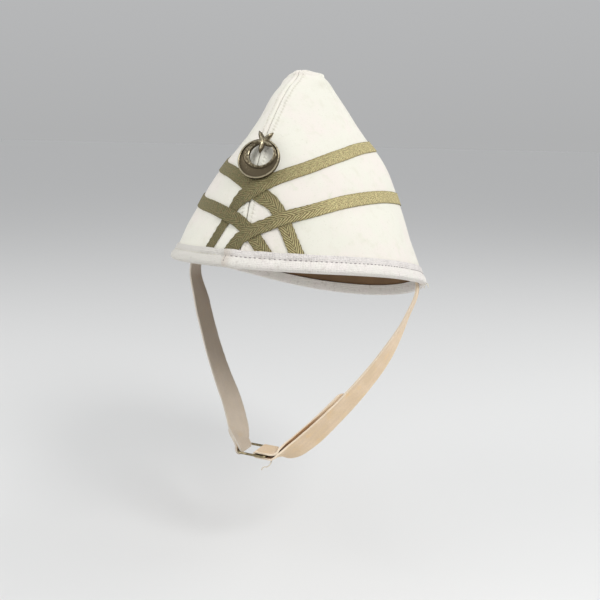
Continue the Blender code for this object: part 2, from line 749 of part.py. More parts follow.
def main():
    for old in list(bpy.data.objects):
        bpy.data.objects.remove(old)
    parts = bpy.data.collections.new("kabalak_cap")
    cutters = bpy.data.collections.new("cutters")
    bpy.context.scene.collection.children.link(parts)
    bpy.context.scene.collection.children.link(cutters)

    cotton = material("ivory_cotton", (0.84, 0.82, 0.72), 0.9)
    tape_cloth = material("olive_herringbone", (0.24, 0.21, 0.08), 0.85)
    binding_cloth = material("ribbed_binding", (0.66, 0.62, 0.58), 0.9)
    webbing_cloth = material("cream_webbing", (0.76, 0.58, 0.40), 0.85)
    brass = material("aged_brass", (0.30, 0.24, 0.13), 0.38, 1.0)
    wire = material("dull_brass_wire", (0.34, 0.29, 0.16), 0.45, 1.0)

    post_hole = post_hole_cutter(cutters)
    crown_panel("crown_left", 1, cutters, post_hole, parts, cotton)
    crown_panel("crown_right", -1, cutters, post_hole, parts, cotton)
    over = tape_crossings()
    tape(
        "tape_upper", UPPER_TAPE, over["upper_first"], over["upper_last"], parts, tape_cloth,
        gathered=GATHERED_SHARE,
    )
    tape("tape_lower", LOWER_TAPE, over["lower_first"], over["lower_last"], parts, tape_cloth)
    rim_binding(parts, binding_cloth)
    badge(parts, cutters, brass)
    badge_post(parts, cutters, wire)
    chin_strap_left(parts, webbing_cloth)
    chin_strap_right(parts, webbing_cloth)
    buckle(parts, cutters, wire)


main()
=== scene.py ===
# %% [markdown]
# # A kabalak cap
# A kabalak is a tall, pointed sun cap of pale cloth. Two panels meet in a seam that runs over
# the top, olive tapes cross at the front, a taped rim holds the edge, and a strap with a wire
# buckle goes under the chin.
#
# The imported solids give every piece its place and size. This lesson lays the finished cloth,
# metal and thread over them, one piece at a time.

import math

import bmesh
import bpy
import numpy as np
from mathutils import Matrix, Vector, noise
from mathutils.bvhtree import BVHTree


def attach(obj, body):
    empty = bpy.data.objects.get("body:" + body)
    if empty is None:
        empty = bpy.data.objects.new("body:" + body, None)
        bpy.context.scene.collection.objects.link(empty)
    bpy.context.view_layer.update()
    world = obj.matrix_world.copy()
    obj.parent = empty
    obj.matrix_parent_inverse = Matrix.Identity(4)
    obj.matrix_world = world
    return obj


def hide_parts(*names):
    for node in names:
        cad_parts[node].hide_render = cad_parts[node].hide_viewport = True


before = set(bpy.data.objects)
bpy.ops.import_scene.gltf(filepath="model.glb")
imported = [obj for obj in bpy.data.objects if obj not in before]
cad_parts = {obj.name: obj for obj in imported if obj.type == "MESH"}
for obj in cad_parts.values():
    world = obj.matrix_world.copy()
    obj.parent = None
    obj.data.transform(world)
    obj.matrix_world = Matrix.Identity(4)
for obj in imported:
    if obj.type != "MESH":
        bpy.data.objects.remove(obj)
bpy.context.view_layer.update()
MM = 0.001
print("solids:", ", ".join(sorted(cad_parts)))

# %% [markdown]
# ## Camera
# The camera stands a little to the cap's left and looks slightly down, as in the photograph.
# It could be parented to an empty that orbits the cap. Writing its three axes into a matrix
# is shorter, and makes the small roll easy to see.

# %% Camera
CAMERA_AZIMUTH = 24.6
CAMERA_ELEVATION = 11.8
CAMERA_ROLL = 0.8
CAMERA_DISTANCE = 708.0
CAMERA_LENS = 48.06
AIM_HEIGHT = -36.0
AIM_SIDE = -0.9


def camera_axes():
    """The camera's right, up and backward directions."""
    azimuth = math.radians(CAMERA_AZIMUTH)
    elevation = math.radians(CAMERA_ELEVATION)
    right = Vector((math.cos(azimuth), math.sin(azimuth), 0.0))
    back = Vector((
        math.sin(azimuth) * math.cos(elevation),
        -math.cos(azimuth) * math.cos(elevation),
        math.sin(elevation),
    ))
    up = back.cross(right)
    roll = Matrix.Rotation(math.radians(CAMERA_ROLL), 3, back)
    return roll @ right, roll @ up, back


def place_camera():
    right, up, back = camera_axes()
    azimuth = math.radians(CAMERA_AZIMUTH)
    level_right = Vector((math.cos(azimuth), math.sin(azimuth), 0.0))
    aim = Vector((0.0, 0.0, AIM_HEIGHT)) + level_right * AIM_SIDE
    camera = bpy.data.objects.new("camera", bpy.data.cameras.new("camera"))
    camera.data.lens = CAMERA_LENS
    camera.data.clip_start = 0.01
    place = Matrix((right, up, back)).transposed().to_4x4()
    place.translation = (aim + back * CAMERA_DISTANCE) * MM
    camera.matrix_world = place
    bpy.context.scene.collection.objects.link(camera)
    bpy.context.scene.camera = camera
    return camera


camera = place_camera()
print("camera stands at", [round(x, 3) for x in camera.matrix_world.translation])

# %% [markdown]
# ## Floor
# The cap is shown at the height at which it is worn, over a plain pale floor. One large flat
# square does for that. A curved backdrop would hide the horizon too, but here the sky is simply
# as dark as the floor where the two meet.

# %% Floor
FLOOR_HEIGHT = -0.25
FLOOR_SIZE = 40.0
FLOOR_COLOUR = (0.75, 0.75, 0.74, 1.0)
FLOOR_ROUGHNESS = 0.8


def place_floor():
    bm = bmesh.new()
    bmesh.ops.create_grid(bm, x_segments=1, y_segments=1, size=FLOOR_SIZE / 2)
    bmesh.ops.translate(bm, vec=(0.0, 0.0, FLOOR_HEIGHT), verts=bm.verts)
    mesh = bpy.data.meshes.new("floor")
    bm.to_mesh(mesh)
    bm.free()
    paint = bpy.data.materials.new("floor_paint")
    paint.use_nodes = True
    shader = paint.node_tree.nodes["Principled BSDF"]
    shader.inputs["Base Color"].default_value = FLOOR_COLOUR
    shader.inputs["Roughness"].default_value = FLOOR_ROUGHNESS
    mesh.materials.append(paint)
    floor = bpy.data.objects.new("floor", mesh)
    bpy.context.scene.collection.objects.link(floor)


place_floor()
print("the floor lies", -FLOOR_HEIGHT, "m under the middle of the rim")

# %% [markdown]
# ## Light
# One large soft light from the front, above and to the right does most of the work. A wide
# weak one fills the far side, a third draws the back edge, and a pale sky keeps the shadows
# open. A picture of a real sky would light the cap too, but lamps are easier to match to a
# photograph. The view transform is Standard, because the usual one turns ivory cloth grey.

# %% Light
SKY_LOW = (0.58, 0.585, 0.59, 1.0)
SKY_HIGH = (0.80, 0.81, 0.83, 1.0)
SKY_HIGH_FROM = 0.7
SKY_STRENGTH = 0.75
# Columns: name, azimuth, elevation, distance, size, power
LIGHTS = (
    ("key", 67.0, 41.0, 1.5, 0.6, 10.0),
    ("fill", -52.0, 28.0, 1.8, 1.4, 13.4),
    ("back", 128.0, 40.0, 1.8, 1.0, 7.5),
)


def direction(azimuth, elevation):
    """The direction from the cap at an azimuth and an elevation, both in degrees."""
    turn, lift = math.radians(azimuth), math.radians(elevation)
    level = math.cos(lift)
    return Vector((math.sin(turn) * level, -math.cos(turn) * level, math.sin(lift)))


def place_light(name, azimuth, elevation, distance, size, power):
    light = bpy.data.lights.new(name, "AREA")
    light.shape = "DISK"
    light.size = size
    light.energy = power
    lamp = bpy.data.objects.new(name, light)
    toward = direction(azimuth, elevation)
    lamp.location = toward * distance
    lamp.rotation_mode = "QUATERNION"
    lamp.rotation_quaternion = toward.to_track_quat("Z", "Y")
    bpy.context.scene.collection.objects.link(lamp)


def light_the_sky():
    """A sky that goes from the floor's grey at the horizon to pale grey overhead."""
    world = bpy.data.worlds.new("studio")
    world.use_nodes = True
    tree = world.node_tree
    looking = tree.nodes.new("ShaderNodeTexCoord").outputs["Generated"]
    split = tree.nodes.new("ShaderNodeSeparateXYZ")
    rise = tree.nodes.new("ShaderNodeValToRGB")
    rise.color_ramp.elements[0].color = SKY_LOW
    rise.color_ramp.elements[1].color = SKY_HIGH
    rise.color_ramp.elements[1].position = SKY_HIGH_FROM
    tree.links.new(looking, split.inputs[0])
    tree.links.new(split.outputs["Z"], rise.inputs[0])
    tree.links.new(rise.outputs[0], tree.nodes["Background"].inputs["Color"])
    tree.nodes["Background"].inputs["Strength"].default_value = SKY_STRENGTH
    bpy.context.scene.world = world


bpy.context.scene.view_settings.view_transform = "Standard"
light_the_sky()
for row in LIGHTS:
    place_light(*row)
print(len(LIGHTS), "soft lights round the cap")

# %% [markdown]
# ## Material helpers
# Every finish here is a node tree. It could be drawn by hand in the shader editor, but a few
# small helpers that make a shader, add a node, do a sum and blend two colours keep each finish
# to a few readable lines.

# %% Material helpers
def new_finish(name, roughness, metallic=0.0, sheen=0.0):
    """A material with its Principled shader, ready for a pattern."""
    finish = bpy.data.materials.new(name)
    finish.use_nodes = True
    tree = finish.node_tree
    shader = tree.nodes["Principled BSDF"]
    shader.inputs["Roughness"].default_value = roughness
    shader.inputs["Metallic"].default_value = metallic
    shader.inputs["Sheen Weight"].default_value = sheen
    return finish, tree, shader


def node(tree, kind, sockets=None, **settings):
    """A node with its settings, whose named sockets take a value or a link."""
    made = tree.nodes.new(kind)
    for key, value in settings.items():
        setattr(made, key, value)
    for key, value in (sockets or {}).items():
        if isinstance(value, bpy.types.NodeSocket):
            tree.links.new(value, made.inputs[key])
        else:
            made.inputs[key].default_value = value
    return made


def sum_of(tree, operation, *values, clamp=False):
    """The result of a Math node over values and links."""
    made = node(tree, "ShaderNodeMath", dict(enumerate(values)), operation=operation)
    made.use_clamp = clamp
    return made.outputs[0]


def times(tree, first, second):
    """One value or link times another."""
    return sum_of(tree, "MULTIPLY", first, second)


def plus(tree, first, second):
    """One value or link plus another."""
    return sum_of(tree, "ADD", first, second)


def times_plus(tree, value, factor, more):
    """A value or link times a factor, plus something more."""
    return sum_of(tree, "MULTIPLY_ADD", value, factor, more)


def blend(tree, share, first, second):
    """The colour that lies between two colours."""
    made = node(tree, "ShaderNodeMix", data_type="RGBA")
    for socket, value in ((0, share), (6, first), (7, second)):
        if isinstance(value, bpy.types.NodeSocket):
            tree.links.new(value, made.inputs[socket])
        elif socket:
            made.inputs[socket].default_value = (*value, 1.0)
        else:
            made.inputs[socket].default_value = value
    return made.outputs[2]


print("material helpers are ready")

# %% [markdown]
# ## Cloth patterns
# Cloth patterns are made of stripes, slow blotches and drawn-out flecks. They read the piece's
# own UV map, which is in metres along and across the cloth, so that a weave has the same size
# everywhere and bends with the cloth. An image of the weave would do the same, but would show
# its own edges and its own size.

# %% Cloth patterns
BLOTCH_ROUGHNESS = 0.55
FLECK_RANGE = (0.34, 0.66)


def cloth_place(tree):
    """The place along the cloth and across it, from the piece's UV map, in millimetres."""
    uv = node(tree, "ShaderNodeUVMap", uv_map="cloth").outputs[0]
    split = node(tree, "ShaderNodeSeparateXYZ", {0: uv})
    return tuple(times(tree, split.outputs[axis], 1 / MM) for axis in (0, 1))


def mottle(tree, size, detail=3.0):
    """Soft noise whose blotches are about `size` millimetres wide, from 0 to 1."""
    spot = node(tree, "ShaderNodeTexCoord").outputs["Object"]
    sockets = {"Vector": spot, "Scale": 1.0 / (size * MM), "Detail": detail}
    sockets["Roughness"] = BLOTCH_ROUGHNESS
    return node(tree, "ShaderNodeTexNoise", sockets).outputs["Fac"]


def flecks(tree, along, across, length, width):
    """Noise drawn out along the cloth, like thick places in its threads, from 0 to 1."""
    parts = {0: sum_of(tree, "DIVIDE", along, length), 1: sum_of(tree, "DIVIDE", across, width)}
    place = node(tree, "ShaderNodeCombineXYZ", parts).outputs[0]
    noisy = node(tree, "ShaderNodeTexNoise", {"Vector": place, "Scale": 1.0, "Detail": 1.0})
    return ramp(tree, noisy.outputs["Fac"], *FLECK_RANGE)


def ramp(tree, value, low, high):
    """The value stretched so that `low` becomes 0 and `high` becomes 1, and held there."""
    sockets = {"Value": value, "From Min": low, "From Max": high}
    return node(tree, "ShaderNodeMapRange", sockets, interpolation_type="SMOOTHSTEP").outputs[0]


def patches(tree, size, low, high, detail=3.0):
    """Soft-edged patches, where the noise rises from `low` to `high`."""
    return ramp(tree, mottle(tree, size, detail), low, high)


def stripes(tree, place, pitch):
    """Ridges that rise to 1 and fall to 0 over each pitch."""
    turns = times(tree, place, 2 * math.pi / pitch)
    return times_plus(tree, sum_of(tree, "SINE", turns), 0.5, 0.5)


def raise_surface(tree, shader, height, distance):
    """Bump of `distance` millimetres under the shader."""
    sockets = {"Height": height, "Distance": distance * MM, "Strength": 1.0}
    bump = node(tree, "ShaderNodeBump", sockets)
    tree.links.new(bump.outputs["Normal"], shader.inputs["Normal"])


print("stripes, blotches and flecks are ready")

# %% [markdown]
# ## Ivory cotton
# The crown is a plain weave of cream cotton, bleached unevenly by sun and washing. Two sets of
# fine ridges at right angles make the weave, slow noise thickens some threads, and two more
# noises lay faint cool and rosy blotches over the ivory. The lining inside is brown drill,
# whose ridges run at a slant.

# %% Ivory cotton and brown lining
def ivory_cotton():
    finish, tree, shader = new_finish("ivory_cotton", 0.9, sheen=0.2)
    along, across = cloth_place(tree)
    slub = mottle(tree, 1.5, 2.0)
    threads = times(tree, stripes(tree, along, 0.70), stripes(tree, across, 0.70))
    rosy = patches(tree, 34.0, 0.40, 0.66)
    cloth = blend(tree, rosy, (0.80, 0.785, 0.69), (0.82, 0.765, 0.70))
    worn = blend(tree, patches(tree, 8.0, 0.50, 0.78, 5.0), cloth, (0.755, 0.735, 0.63))
    speck = blend(tree, ramp(tree, slub, 0.60, 0.85), worn, (0.66, 0.64, 0.54))
    grain = blend(tree, times(tree, threads, 0.16), speck, (0.60, 0.58, 0.49))
    tree.links.new(grain, shader.inputs["Base Color"])
    raise_surface(tree, shader, plus(tree, threads, slub), 0.09)
    return finish


def brown_drill():
    finish, tree, shader = new_finish("brown_drill", 0.9)
    along, across = cloth_place(tree)
    twill = stripes(tree, plus(tree, along, across), 1.0)
    colour = blend(tree, twill, (0.17, 0.095, 0.045), (0.28, 0.17, 0.085))
    aged = blend(tree, patches(tree, 30.0, 0.30, 0.85), colour, (0.16, 0.095, 0.05))
    tree.links.new(aged, shader.inputs["Base Color"])
    raise_surface(tree, shader, twill, 0.12)
    return finish


cotton = ivory_cotton()
lining = brown_drill()
print("finishes mixed:", cotton.name, "and", lining.name)

# %% [markdown]
# ## Herringbone tape
# The olive tape is a herringbone weave: slanting ridges that meet in a line down its middle.
# The slant comes from adding the distance from the middle to the place along the tape. Golden
# and dark threads mix in it, and its two edges are woven tighter and look darker. The side that
# the key light falls on is painted lighter and more golden, with a stronger weave, and the other
# side darker and olive green: painted light and shade. Near its ends the cloth is eased into
# steep curves, which opens the ridges, so a value stored on the tape says where they show
# strongly. Those low ends are also painted a little darker, as shade.

# %% Herringbone tape
TAPE_WIDTH = 10.4
HERRINGBONE_PITCH = 3.0
HERRINGBONE_SLOPE = 1.75
# Painted light and shade: the span in X over which the tape goes from its shaded colours to its
# lit ones
LIT_SIDE = (-0.015, 0.065)


def herringbone():
    finish, tree, shader = new_finish("olive_herringbone", 0.8, sheen=0.05)
    along, across = cloth_place(tree)
    from_middle = sum_of(tree, "ABSOLUTE", across)
    wander = times_plus(tree, flecks(tree, along, across, 6.0, 5.0), 1.2, along)
    slant = times_plus(tree, from_middle, HERRINGBONE_SLOPE, wander)
    ridge = stripes(tree, slant, HERRINGBONE_PITCH)
    spot = node(tree, "ShaderNodeTexCoord").outputs["Object"]
    place = node(tree, "ShaderNodeSeparateXYZ", {0: spot})
    # Painted light and shade: 0 on the shaded side, towards -X, and 1 on the side that the key
    # light falls on
    lit_side = ramp(tree, place.outputs["X"], *LIT_SIDE)
    steep = node(tree, "ShaderNodeAttribute", attribute_name="steep").outputs["Fac"]
    # The weave shows more at the steep ends, and more on the painted lit side
    strong = times(tree, times_plus(tree, steep, 1.10, 0.28), times_plus(tree, lit_side, 0.45, 0.55))
    grain = flecks(tree, slant, across, 1.5, 1.1)
    specks = flecks(tree, along, across, 0.9, 0.7)
    thread = times(tree, sum_of(tree, "SUBTRACT", ridge, 0.5), strong)
    noisy = plus(tree, times(tree, grain, 0.42), times(tree, specks, 0.34))
    # Painted shade: the steep ends, low on the crown, are made a little darker
    shaded_low = times_plus(tree, steep, -0.16, noisy)
    lit = plus(tree, thread, shaded_low)
    # Lit and shaded copies of each colour: darker and olive on the shaded side, lighter and golden
    # on the lit side
    shade = blend(tree, lit_side, (0.074, 0.070, 0.022), (0.150, 0.122, 0.042))
    gold = blend(tree, lit_side, (0.215, 0.200, 0.084), (0.73, 0.645, 0.32))
    colour = blend(tree, ramp(tree, lit, -0.25, 0.90), shade, gold)
    rust = times(tree, flecks(tree, across, along, 1.7, 2.6), 0.22)
    mixed = blend(tree, rust, colour, (0.36, 0.21, 0.105))
    edge = ramp(tree, from_middle, 0.41 * TAPE_WIDTH, 0.5 * TAPE_WIDTH)
    middle = times(tree, times(tree, ramp(tree, from_middle, 0.6, 0.1), 0.6), steep)
    dark = times(tree, sum_of(tree, "MAXIMUM", edge, middle), 0.55)
    bound = blend(tree, dark, mixed, (0.16, 0.135, 0.055))
    tree.links.new(bound, shader.inputs["Base Color"])
    raise_surface(tree, shader, lit, 0.40)
    return finish


tape_cloth = herringbone()
print("herringbone ridges every", HERRINGBONE_PITCH, "mm along the tape")

# %% [markdown]
# ## Smooth curves
# A cap has no straight lines, so every table of sizes here is read through a smooth curve. A
# Bezier curve would need handles at each point. This one finds its slopes from its neighbours,
# and stays level between two equal values.

# %% Smooth curves
def column(table, names, name):
    """One named column of a table."""
    return np.array([row[names.index(name)] for row in table], float)


def smooth(stations, values, at):
    """A smooth curve through values at rising stations, level between equal values."""
    stations = np.asarray(stations, float)
    values = np.asarray(values, float)
    steps = np.diff(stations)
    slopes = np.diff(values) / steps
    inner = (slopes[:-1] * steps[1:] + slopes[1:] * steps[:-1]) / (steps[1:] + steps[:-1])
    inner = np.where(slopes[:-1] * slopes[1:] == 0, 0.0, inner)
    tangents = np.concatenate(([slopes[0]], inner, [slopes[-1]]))
    at = np.asarray(at, float)
    i = np.clip(np.searchsorted(stations, at, side="right") - 1, 0, len(steps) - 1)
    u = (at - stations[i]) / steps[i]
    start = values[i] * (1 + 2 * u) * (1 - u) ** 2 + tangents[i] * steps[i] * u * (1 - u) ** 2
    end = values[i + 1] * u**2 * (3 - 2 * u) + tangents[i + 1] * steps[i] * u**2 * (u - 1)
    return start + end


def unit(vectors):
    """Vectors scaled to a length of one."""
    return vectors / np.linalg.norm(vectors, axis=-1, keepdims=True)


def ease(value):
    """A value held between 0 and 1, which starts and stops gently."""
    held = np.clip(value, 0.0, 1.0)
    return held * held * (3 - 2 * held)


def run_length(points):
    """The distance travelled along a row of points, starting at 0."""
    return np.concatenate(([0.0], np.cumsum(np.linalg.norm(np.diff(points, axis=0), axis=1))))


print("halfway from 0 to 1 a curve reads", smooth((0, 1), (0, 1), 0.5))

# %% [markdown]
# ## The crown's form
# The crown has no simple shape, so it is described the way a hatter would block it: by level
# sections from the rim to the top, each with its front, its back, its half width and how full
# it is. A smooth curve runs through the numbers of each column. Every cloth piece is laid on
# this one surface by a height above the rim and a turn from the front seam.

# %% The crown's form
CROWN_COLUMNS = ("height", "front", "back", "half_width", "widest_at", "fullness")
CROWN_SECTIONS = (
    (0.0, -117.0, 122.0, 104.5, 1.0, 2.20),
    (31.0, -107.0, 110.0, 91.5, 3.0, 2.10),
    (62.0, -97.0, 98.0, 77.5, 5.0, 1.90),
    (95.0, -82.0, 80.0, 59.5, 6.0, 1.63),
    (122.0, -63.0, 54.0, 38.0, 1.0, 1.60),
    (142.0, -42.5, 29.5, 24.5, -5.0, 1.68),
    (153.0, -27.5, 16.8, 17.5, -13.5, 1.35),
    (157.8, -23.0, 10.5, 9.0, -10.5, 1.30),
    (159.0, -18.5, 9.5, 0.0, -10.5, 1.30),
)
CROWN_HEIGHT = CROWN_SECTIONS[-1][0]
CROWN_TILT = 5.5
NECK_DROP = 37.0
SIDE_LIFT = 1.0
LIFT_FADE = 1.5
NUDGE = 0.5
POLE_CLEAR = 0.05


def crown_surface(height, turn):
    """Points of the crown's outer face, in millimetres."""
    height = np.clip(height, 0.0, CROWN_HEIGHT)
    heights = column(CROWN_SECTIONS, CROWN_COLUMNS, "height")
    front, back, half_width, widest_at, fullness = (
        smooth(heights, column(CROWN_SECTIONS, CROWN_COLUMNS, name), height)
        for name in CROWN_COLUMNS[1:]
    )
    sine = np.sin(np.radians(turn))
    cosine = np.cos(np.radians(turn))
    power = 2 / fullness
    x = np.maximum(half_width, 0.0) * np.sign(sine) * np.abs(sine) ** power
    reach = np.sign(cosine) * np.abs(cosine) ** power
    half_length = np.where(cosine >= 0, widest_at - front, back - widest_at)
    y = widest_at - half_length * reach
    fade = (1 - height / CROWN_HEIGHT) ** LIFT_FADE
    z = height + fade * (SIDE_LIFT * sine**2 - NECK_DROP * ((1 - cosine) / 2) ** 2)
    tilt = math.radians(CROWN_TILT)
    tilted_y = y * math.cos(tilt) + z * math.sin(tilt)
    tilted_z = z * math.cos(tilt) - y * math.sin(tilt)
    return np.stack(np.broadcast_arrays(x, tilted_y, tilted_z), axis=-1)


def crown_frame(height, turn):
    """A point on the crown with its round, up and outward directions.

    At the very top all turns meet, so the round direction is read just below it.
    """
    point = crown_surface(height, turn)
    low = np.maximum(height - NUDGE, 0.0)
    high = np.minimum(height + NUDGE, CROWN_HEIGHT)
    level = np.minimum(height, CROWN_HEIGHT - POLE_CLEAR)
    around = unit(crown_surface(level, turn + NUDGE) - crown_surface(level, turn - NUDGE))
    up = unit(crown_surface(high, turn) - crown_surface(low, turn))
    return point, around, up, unit(np.cross(around, up))


print("the crown stands", CROWN_HEIGHT, "mm over its rim")

# %% [markdown]
# ## Soft unevenness
# Handled cloth is never as true as its pattern. Slow noise pushes the crown in and out by up to
# a millimetre, a few broad hollows lie where hands have pressed it, and both die away at the
# rim, where the binding holds the edge, and at the top. Everything that lies on the crown reads
# the same unevenness, so that it stays on the cloth.

# %% Soft unevenness
DENT_SIZE = 36.0
DENT_DEPTH = 1.3
CREASE_SIZE = 11.0
CREASE_DEPTH = 0.2
NOISE_PLACE = (40.0, 15.0, 70.0)
CALM_RIM = (14.0, 34.0)
CALM_TOP = (132.0, 156.0)
# Columns: turn, height, reach, out
HOLLOWS = (
    (-46.0, 106.0, 36.0, -2.6),
    (-60.0, 70.0, 26.0, -1.2),
    (104.0, 76.0, 50.0, 2.2),
    (60.0, 48.0, 26.0, -0.8),
    (-120.0, 60.0, 40.0, -1.2),
    (150.0, 70.0, 40.0, -1.0),
)


def noise_at(points, size):
    """Smooth noise from -1 to 1 at each point."""
    flat = np.reshape(points + NOISE_PLACE, (-1, 3)) / size
    return np.array([noise.noise(Vector(spot)) for spot in flat]).reshape(points.shape[:-1])


def dents(points, height):
    """How far the cloth stands out of its true form."""
    free = ease((height - CALM_RIM[0]) / (CALM_RIM[1] - CALM_RIM[0]))
    free = free * ease((CALM_TOP[1] - height) / (CALM_TOP[1] - CALM_TOP[0]))
    out = DENT_DEPTH * noise_at(points, DENT_SIZE) + CREASE_DEPTH * noise_at(points, CREASE_SIZE)
    for turn, level, reach, depth in HOLLOWS:
        middle = crown_surface(np.array(level), np.array(turn))
        out = out + depth * ease(1 - np.linalg.norm(points - middle, axis=-1) / reach)
    return free * out


def on_crown(height, turn, out):
    """Points that stand off the uneven cloth, or go straight on below its edge."""
    point, _, up, outward = crown_frame(np.maximum(height, 0.0), turn)
    stand_off = out + dents(point, height)
    return point + outward * stand_off[..., None] + up * np.minimum(height, 0.0)[..., None]


print("dents up to", DENT_DEPTH, "mm deep, and", len(HOLLOWS), "hollows")

# %% [markdown]
# ## Laying a sheet
# Panels, tapes, binding and webbing all start as a flat grid, like cloth on a table. A function
# says where each point of the grid goes. The grid could also be bent by a chain of modifiers,
# but one function keeps the place, the size and the UV map of the cloth together.

# %% Laying a sheet
CAP_MIDDLE = (0.0, 0.0, 40.0)
SHARP_ANGLE = 50.0


def laid_sheet(columns, rows, place):
    """A grid whose points are laid by place(u, v), with u and v from 0 to 1."""
    bm = bmesh.new()
    bmesh.ops.create_grid(bm, x_segments=columns, y_segments=rows, size=1.0)
    bm.verts.index_update()
    flat = np.array([vert.co[:2] for vert in bm.verts])
    flat = (flat - flat.min(axis=0)) / (flat.max(axis=0) - flat.min(axis=0))
    points, cloth = place(flat[:, 0], flat[:, 1])
    uv = bm.loops.layers.uv.new("cloth")
    for vert, point in zip(bm.verts, points):
        vert.co = point * MM
    for face in bm.faces:
        for loop in face.loops:
            loop[uv].uv = cloth[loop.vert.index] * MM
    return bm


def face_outwards(bm):
    """Turns the faces of an open sheet away from the middle of the cap."""
    bm.normal_update()
    centre = Vector(CAP_MIDDLE) * MM
    outward = sum(face.normal.dot(face.calc_center_median() - centre) > 0 for face in bm.faces)
    if outward < len(bm.faces) / 2:
        bmesh.ops.reverse_faces(bm, faces=bm.faces)


def new_piece(bm, name, finish, sharp_angle=SHARP_ANGLE):
    """An object from a bmesh, with its finish, that rides on the cap."""
    mesh = bpy.data.meshes.new(name)
    bm.normal_update()
    bm.to_mesh(mesh)
    bm.free()
    mesh.materials.append(finish)
    mesh.shade_smooth()
    mesh.set_sharp_from_angle(angle=math.radians(sharp_angle))
    made = bpy.data.objects.new(name, mesh)
    bpy.context.scene.collection.objects.link(made)
    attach(made, "root")
    return made


def give_wall(made, thickness, offset=-1.0, rounding=0.0):
    """A cloth's thickness, with its cut edges rounded."""
    wall = made.modifiers.new("wall", "SOLIDIFY")
    wall.thickness = thickness * MM
    wall.offset = offset
    if rounding:
        edge = made.modifiers.new("rounded_edge", "BEVEL")
        edge.width = rounding * MM
        edge.segments = 2
        edge.limit_method = "ANGLE"
        edge.angle_limit = math.radians(SHARP_ANGLE)


print("a sheet is laid from a grid of points")

# %% [markdown]
# ## Seam relief
# Along the seam the cloth dips into the join, swells over the folded edge inside and dips again
# where it is topstitched, and the thread draws it into small slanted puckers. All of that
# depends only on the distance from the seam and the place along it, so it can be added to a
# panel as it is laid. It could be sculpted too, but less evenly than stitches draw it. One
# crease is pressed in near the top as well.

# %% Seam relief
SEAM_COLUMNS = ("from_seam", "out")
SEAM_PROFILE = (
    (0.0, -0.95),
    (0.35, -0.60),
    (0.8, -0.10),
    (1.7, 0.28),
    (3.0, 0.38),
    (4.2, 0.02),
    (4.7, -0.02),
    (5.4, 0.14),
    (8.0, 0.0),
)
STITCH_LINE = 4.6
STITCH_PITCH = 3.2
SEAM_PUCKER = 0.42
SEAM_PUCKER_WIDTH = 3.2
SEAM_PUCKER_SLANT = 1.3
PRESSED_TURN = 73.5
PRESSED_FROM = 108.0
PRESSED_FADE = 15.0
PRESSED_WIDE = 1.5
PRESSED_DEPTH = 0.4
LEAST_LEVEL = 0.05


def distance_from_seam(points, outward):
    """The distance over the cloth from the seam, near it."""
    return np.abs(points[:, 0]) / np.sqrt(np.maximum(1 - outward[:, 0] ** 2, LEAST_LEVEL))


def seam_relief(points, outward, along_seam):
    """How far the cloth stands out beside the seam."""
    from_seam = distance_from_seam(points, outward)
    stations = column(SEAM_PROFILE, SEAM_COLUMNS, "from_seam")
    out = column(SEAM_PROFILE, SEAM_COLUMNS, "out")
    dip = smooth(stations, out, np.minimum(from_seam, stations[-1]))
    near = ease(1 - np.abs(from_seam - STITCH_LINE) / SEAM_PUCKER_WIDTH)
    drawn = np.sin(2 * math.pi * along_seam / STITCH_PITCH + SEAM_PUCKER_SLANT * from_seam)
    return dip + SEAM_PUCKER * near * drawn


def pressed_crease(points, height):
    """A crease pressed into the wearer's left side near the top."""
    beside = np.linalg.norm(points - crown_surface(height, PRESSED_TURN), axis=1)
    down = ease(1 - beside / PRESSED_WIDE) * ease((height - PRESSED_FROM) / PRESSED_FADE)
    return -PRESSED_DEPTH * down


print("the stitches draw the seam together every", STITCH_PITCH, "mm")

# %% [markdown]
# ## Crown panels
# Each side of the crown is one panel of firm cloth, sewn to the other along the front, over the
# top and down the back. It is one laid sheet, whose columns crowd together near the seam, where
# the relief is fine. Solidify then gives the cloth its thickness. A thick block could be bent
# the same way, but a single sheet is easier to change.

# %% Crown panels
CLOTH_THICK = 1.1
PANEL_COLUMNS = 186
PANEL_ROWS = 256
SEAM_CROWDING = 0.73
SEAM_HALF_GAP = 0.14
GIRTH_STEPS = 40
FINE_HEIGHTS = np.linspace(0.0, CROWN_HEIGHT, 400)


def girth(height, turn):
    """The distance round the crown from the front seam to a turn."""
    turns = turn[:, None] * np.linspace(0.0, 1.0, GIRTH_STEPS + 1)
    around = crown_surface(np.broadcast_to(height[:, None], turns.shape), turns)
    return np.linalg.norm(np.diff(around, axis=1), axis=2).sum(axis=1)


def slope_length(turn):
    """The distance up the cloth at each fine height, at one turn."""
    return run_length(crown_surface(FINE_HEIGHTS, np.full(FINE_HEIGHTS.shape, turn)))


def panel_place(side):
    """Where the points of one panel go."""
    rise, front_rise, back_rise = slope_length(90.0), slope_length(0.0), slope_length(180.0)

    def place(u, v):
        turn = 180.0 * (u - SEAM_CROWDING * np.sin(2 * math.pi * u) / (2 * math.pi))
        height = np.interp(v * rise[-1], rise, FINE_HEIGHTS)
        point, _, _, outward = crown_frame(height, side * turn)
        up_front = np.interp(height, FINE_HEIGHTS, front_rise)
        up_back = np.interp(height, FINE_HEIGHTS, back_rise)
        along_seam = np.where(turn < 90, up_front, up_back)
        out = dents(point, height) + seam_relief(point, outward, along_seam)
        out = out + pressed_crease(point, height)
        laid = point + outward * out[:, None]
        laid[:, 0] = side * np.maximum(side * laid[:, 0], SEAM_HALF_GAP)
        return laid, np.column_stack((girth(height, turn), v * rise[-1]))

    return place


